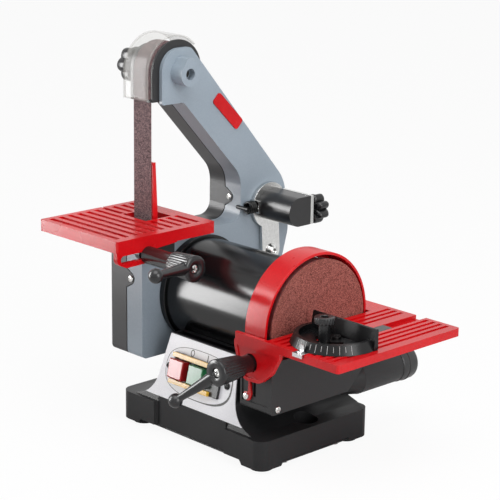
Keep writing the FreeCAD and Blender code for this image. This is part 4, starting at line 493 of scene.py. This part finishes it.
# Belt table carrier: a casting painted black. Two screws hold its foot to the side of the arm, and its
# tongue takes the stud of the table's clamping lever.
carrier_paint = coat("carrier_paint", (0.018, 0.018, 0.019), (0.011, 0.011, 0.012), 0.4, 900, 0.00005)
dress(carrier_paint, "table_carrier", edge=0.5)

# Mitre gauge: a black moulded protractor with white degree marks on its sloping rim, a fence, and a
# fluted clamp knob with a socket. Behind its pointer, the steel bar is given a dark grey as painted shade
# for the slot it lies in, so only the pointer shows the bright steel.
mitre_black = coat("mitre_black", (0.007, 0.007, 0.0075), (0.004, 0.004, 0.0045), 0.3, 1200, 0.00003,
                   gloss=0.3)
dress(mitre_black, "mitre_head", edge=0.6)
bar_steel = coat("bar_steel", (0.6, 0.6, 0.6), (0.4, 0.4, 0.41), 0.3, 700, 0.00003, metal=1.0)
POINTER_BACK = -55
tree = bar_steel.node_tree
place = next(item for item in tree.nodes if item.type == "TEX_COORD")
tone = next(item for item in tree.nodes if item.type == "VALTORGB")
# Painted shade: behind the pointer's back edge the bar takes a flat dark grey instead of the steel's tones,
# standing for the shade in its slot.
spot = tree.nodes.new("ShaderNodeSeparateXYZ")
ahead = tree.nodes.new("ShaderNodeMath")
ahead.operation, ahead.inputs[1].default_value = "LESS_THAN", POINTER_BACK * MM
slot_shade_mix = tree.nodes.new("ShaderNodeMix")
slot_shade_mix.data_type = "RGBA"
slot_shade_mix.inputs["A"].default_value = (0.05, 0.045, 0.045, 1)
wire(tree, (place, "Object", spot, "Vector"), (spot, "Y", ahead, 0), (ahead, 0, slot_shade_mix, 0),
     (tone, 0, slot_shade_mix, 7), (slot_shade_mix, 2, tree.nodes["Principled BSDF"], "Base Color"))
dress(bar_steel, "mitre_bar", edge=0.3)
PIVOT = np.array((142.6, -22.0, 131.3))
KNOB_BACK = 15
MARK_HALF, MARK_SUNK, MARK_PROUD = 0.17, 0.5, 0.22
LONG_MARK, SHORT_MARK = ((41.6, 1.2), (38.5, 8.2)), ((40.9, 2.8), (38.8, 7.5))
mark_white = coat("mark_white", (0.5, 0.5, 0.5), (0.38, 0.38, 0.38), 0.5, 700, 0.00001)
marks = []
for index, angle in enumerate(np.radians(np.arange(-105, -24, 8))):
    way = math.cos(angle) * X + math.sin(angle) * Y
    beside = (math.cos(angle) * Y - math.sin(angle) * X) * MARK_HALF
    ends = [PIVOT + way * reach + Z * rise for reach, rise in (SHORT_MARK if index % 2 else LONG_MARK)]
    section = [side * beside + way * lift for side, lift in
               ((1, -MARK_SUNK), (1, MARK_PROUD), (-1, MARK_PROUD), (-1, -MARK_SUNK))]
    marks.append(np.stack([[end + corner for corner in section] for end in ends]))
piece("gauge_marks", marks, mark_white, "gauge_head", "label")
clamp = [(-4, 2.9), (3.6, 2.9), (3.7, 5.0), (4, 5.6), (20.4, 5.6), (20.8, 6.2), (21, 8.6), (21.4, 9.3),
         (22.2, 9.6), (26.4, 9.6), (27.2, 9.3), (27.5, 8.6), (27.5, 4.2), (27.1, 3.7), (23.6, 3.5)]
shank_flutes, rim_flutes = flutes(12, 5, 20, 0.1), flutes(18, 20.8, 27.3, 0.09)
piece("gauge_clamp", [turned(clamp, PIVOT - KNOB_BACK * Y, Z, 144,
                             lambda angle, along: shank_flutes(angle, along) * rim_flutes(angle, along))],
      lever_black, "gauge_knob", "black_plastic", ["mitre_knob"])

# Floor, lamps and air: a pale bench in a bright tent, with a tall soft box to the operator's left
# whose reflection is the white stripe along the drum.


def soft_box(name, place, target, size, power):
    """A rectangular lamp at a place, facing a target."""
    lamp = bpy.data.lights.new(name, "AREA")
    lamp.shape, lamp.size, lamp.size_y = "RECTANGLE", *size
    lamp.energy = power
    made = bpy.data.objects.new(name, lamp)
    made.location = place
    made.rotation_euler = (Vector(target) - Vector(place)).to_track_quat("-Z", "Y").to_euler()
    made.visible_camera = False
    bpy.context.scene.collection.objects.link(made)
    return made


stripe = soft_box("stripe_box", (-0.66, -0.61, 0.3), (0, 0, 0.16), (0.26, 0.85), 12)
stripe.visible_diffuse = False
soft_box("top_box", (0.4, -0.5, 1.9), (0, 0, 0.15), (1.6, 1.6), 26)
soft_box("right_box", (2.0, -0.1, 0.9), (0, 0, 0.2), (1.0, 1.4), 22)

air = bpy.data.worlds.new("air")
bpy.context.scene.world = air
air.use_nodes = True
sky = air.node_tree.nodes["Background"]
ray = air.node_tree.nodes.new("ShaderNodeLightPath")
seen = air.node_tree.nodes.new("ShaderNodeMath")
seen.operation = "MAXIMUM"
either = air.node_tree.nodes.new("ShaderNodeMath")
either.operation = "MAXIMUM"
level = air.node_tree.nodes.new("ShaderNodeMapRange")
level.inputs["To Min"].default_value, level.inputs["To Max"].default_value = 0.35, 1.0
wire(air.node_tree, (ray, "Is Camera Ray", seen, 0), (ray, "Is Glossy Ray", seen, 1), (seen, 0, either, 0),
     (ray, "Is Transmission Ray", either, 1), (either, 0, level, "Value"), (level, "Result", sky, "Strength"))
sky.inputs["Color"].default_value = (1, 1, 1, 1)

bench = bpy.data.meshes.new("bench_top")
BENCH_HALF = 6
corners = [(x * BENCH_HALF, y * BENCH_HALF, 0) for x, y in ((-1, -1), (1, -1), (1, 1), (-1, 1))]
bench.from_pydata(corners, [], [(0, 1, 2, 3)])
bench_top = bpy.data.objects.new("bench_top", bench)
bpy.context.scene.collection.objects.link(bench_top)
bench_white = bpy.data.materials.new("bench_white")
bench_white.use_nodes = True
tree = bench_white.node_tree
shader = tree.nodes["Principled BSDF"]
shader.inputs["Base Color"].default_value = (0.86, 0.86, 0.86, 1)
shader.inputs["Roughness"].default_value = 0.9
shader.inputs["Specular IOR Level"].default_value = 0.1
glow = tree.nodes.new("ShaderNodeEmission")
glow.inputs["Strength"].default_value = 1.0
ray = tree.nodes.new("ShaderNodeLightPath")
share = tree.nodes.new("ShaderNodeMath")
share.operation = "MULTIPLY"
share.inputs[1].default_value = 0.93
mix = tree.nodes.new("ShaderNodeMixShader")
wire(tree, (ray, "Is Camera Ray", share, 0), (share, 0, mix, 0), (shader, "BSDF", mix, 1),
     (glow, "Emission", mix, 2), (mix, "Shader", tree.nodes["Material Output"], "Surface"))
bench.materials.append(bench_white)

bpy.context.scene.view_settings.view_transform = "Standard"
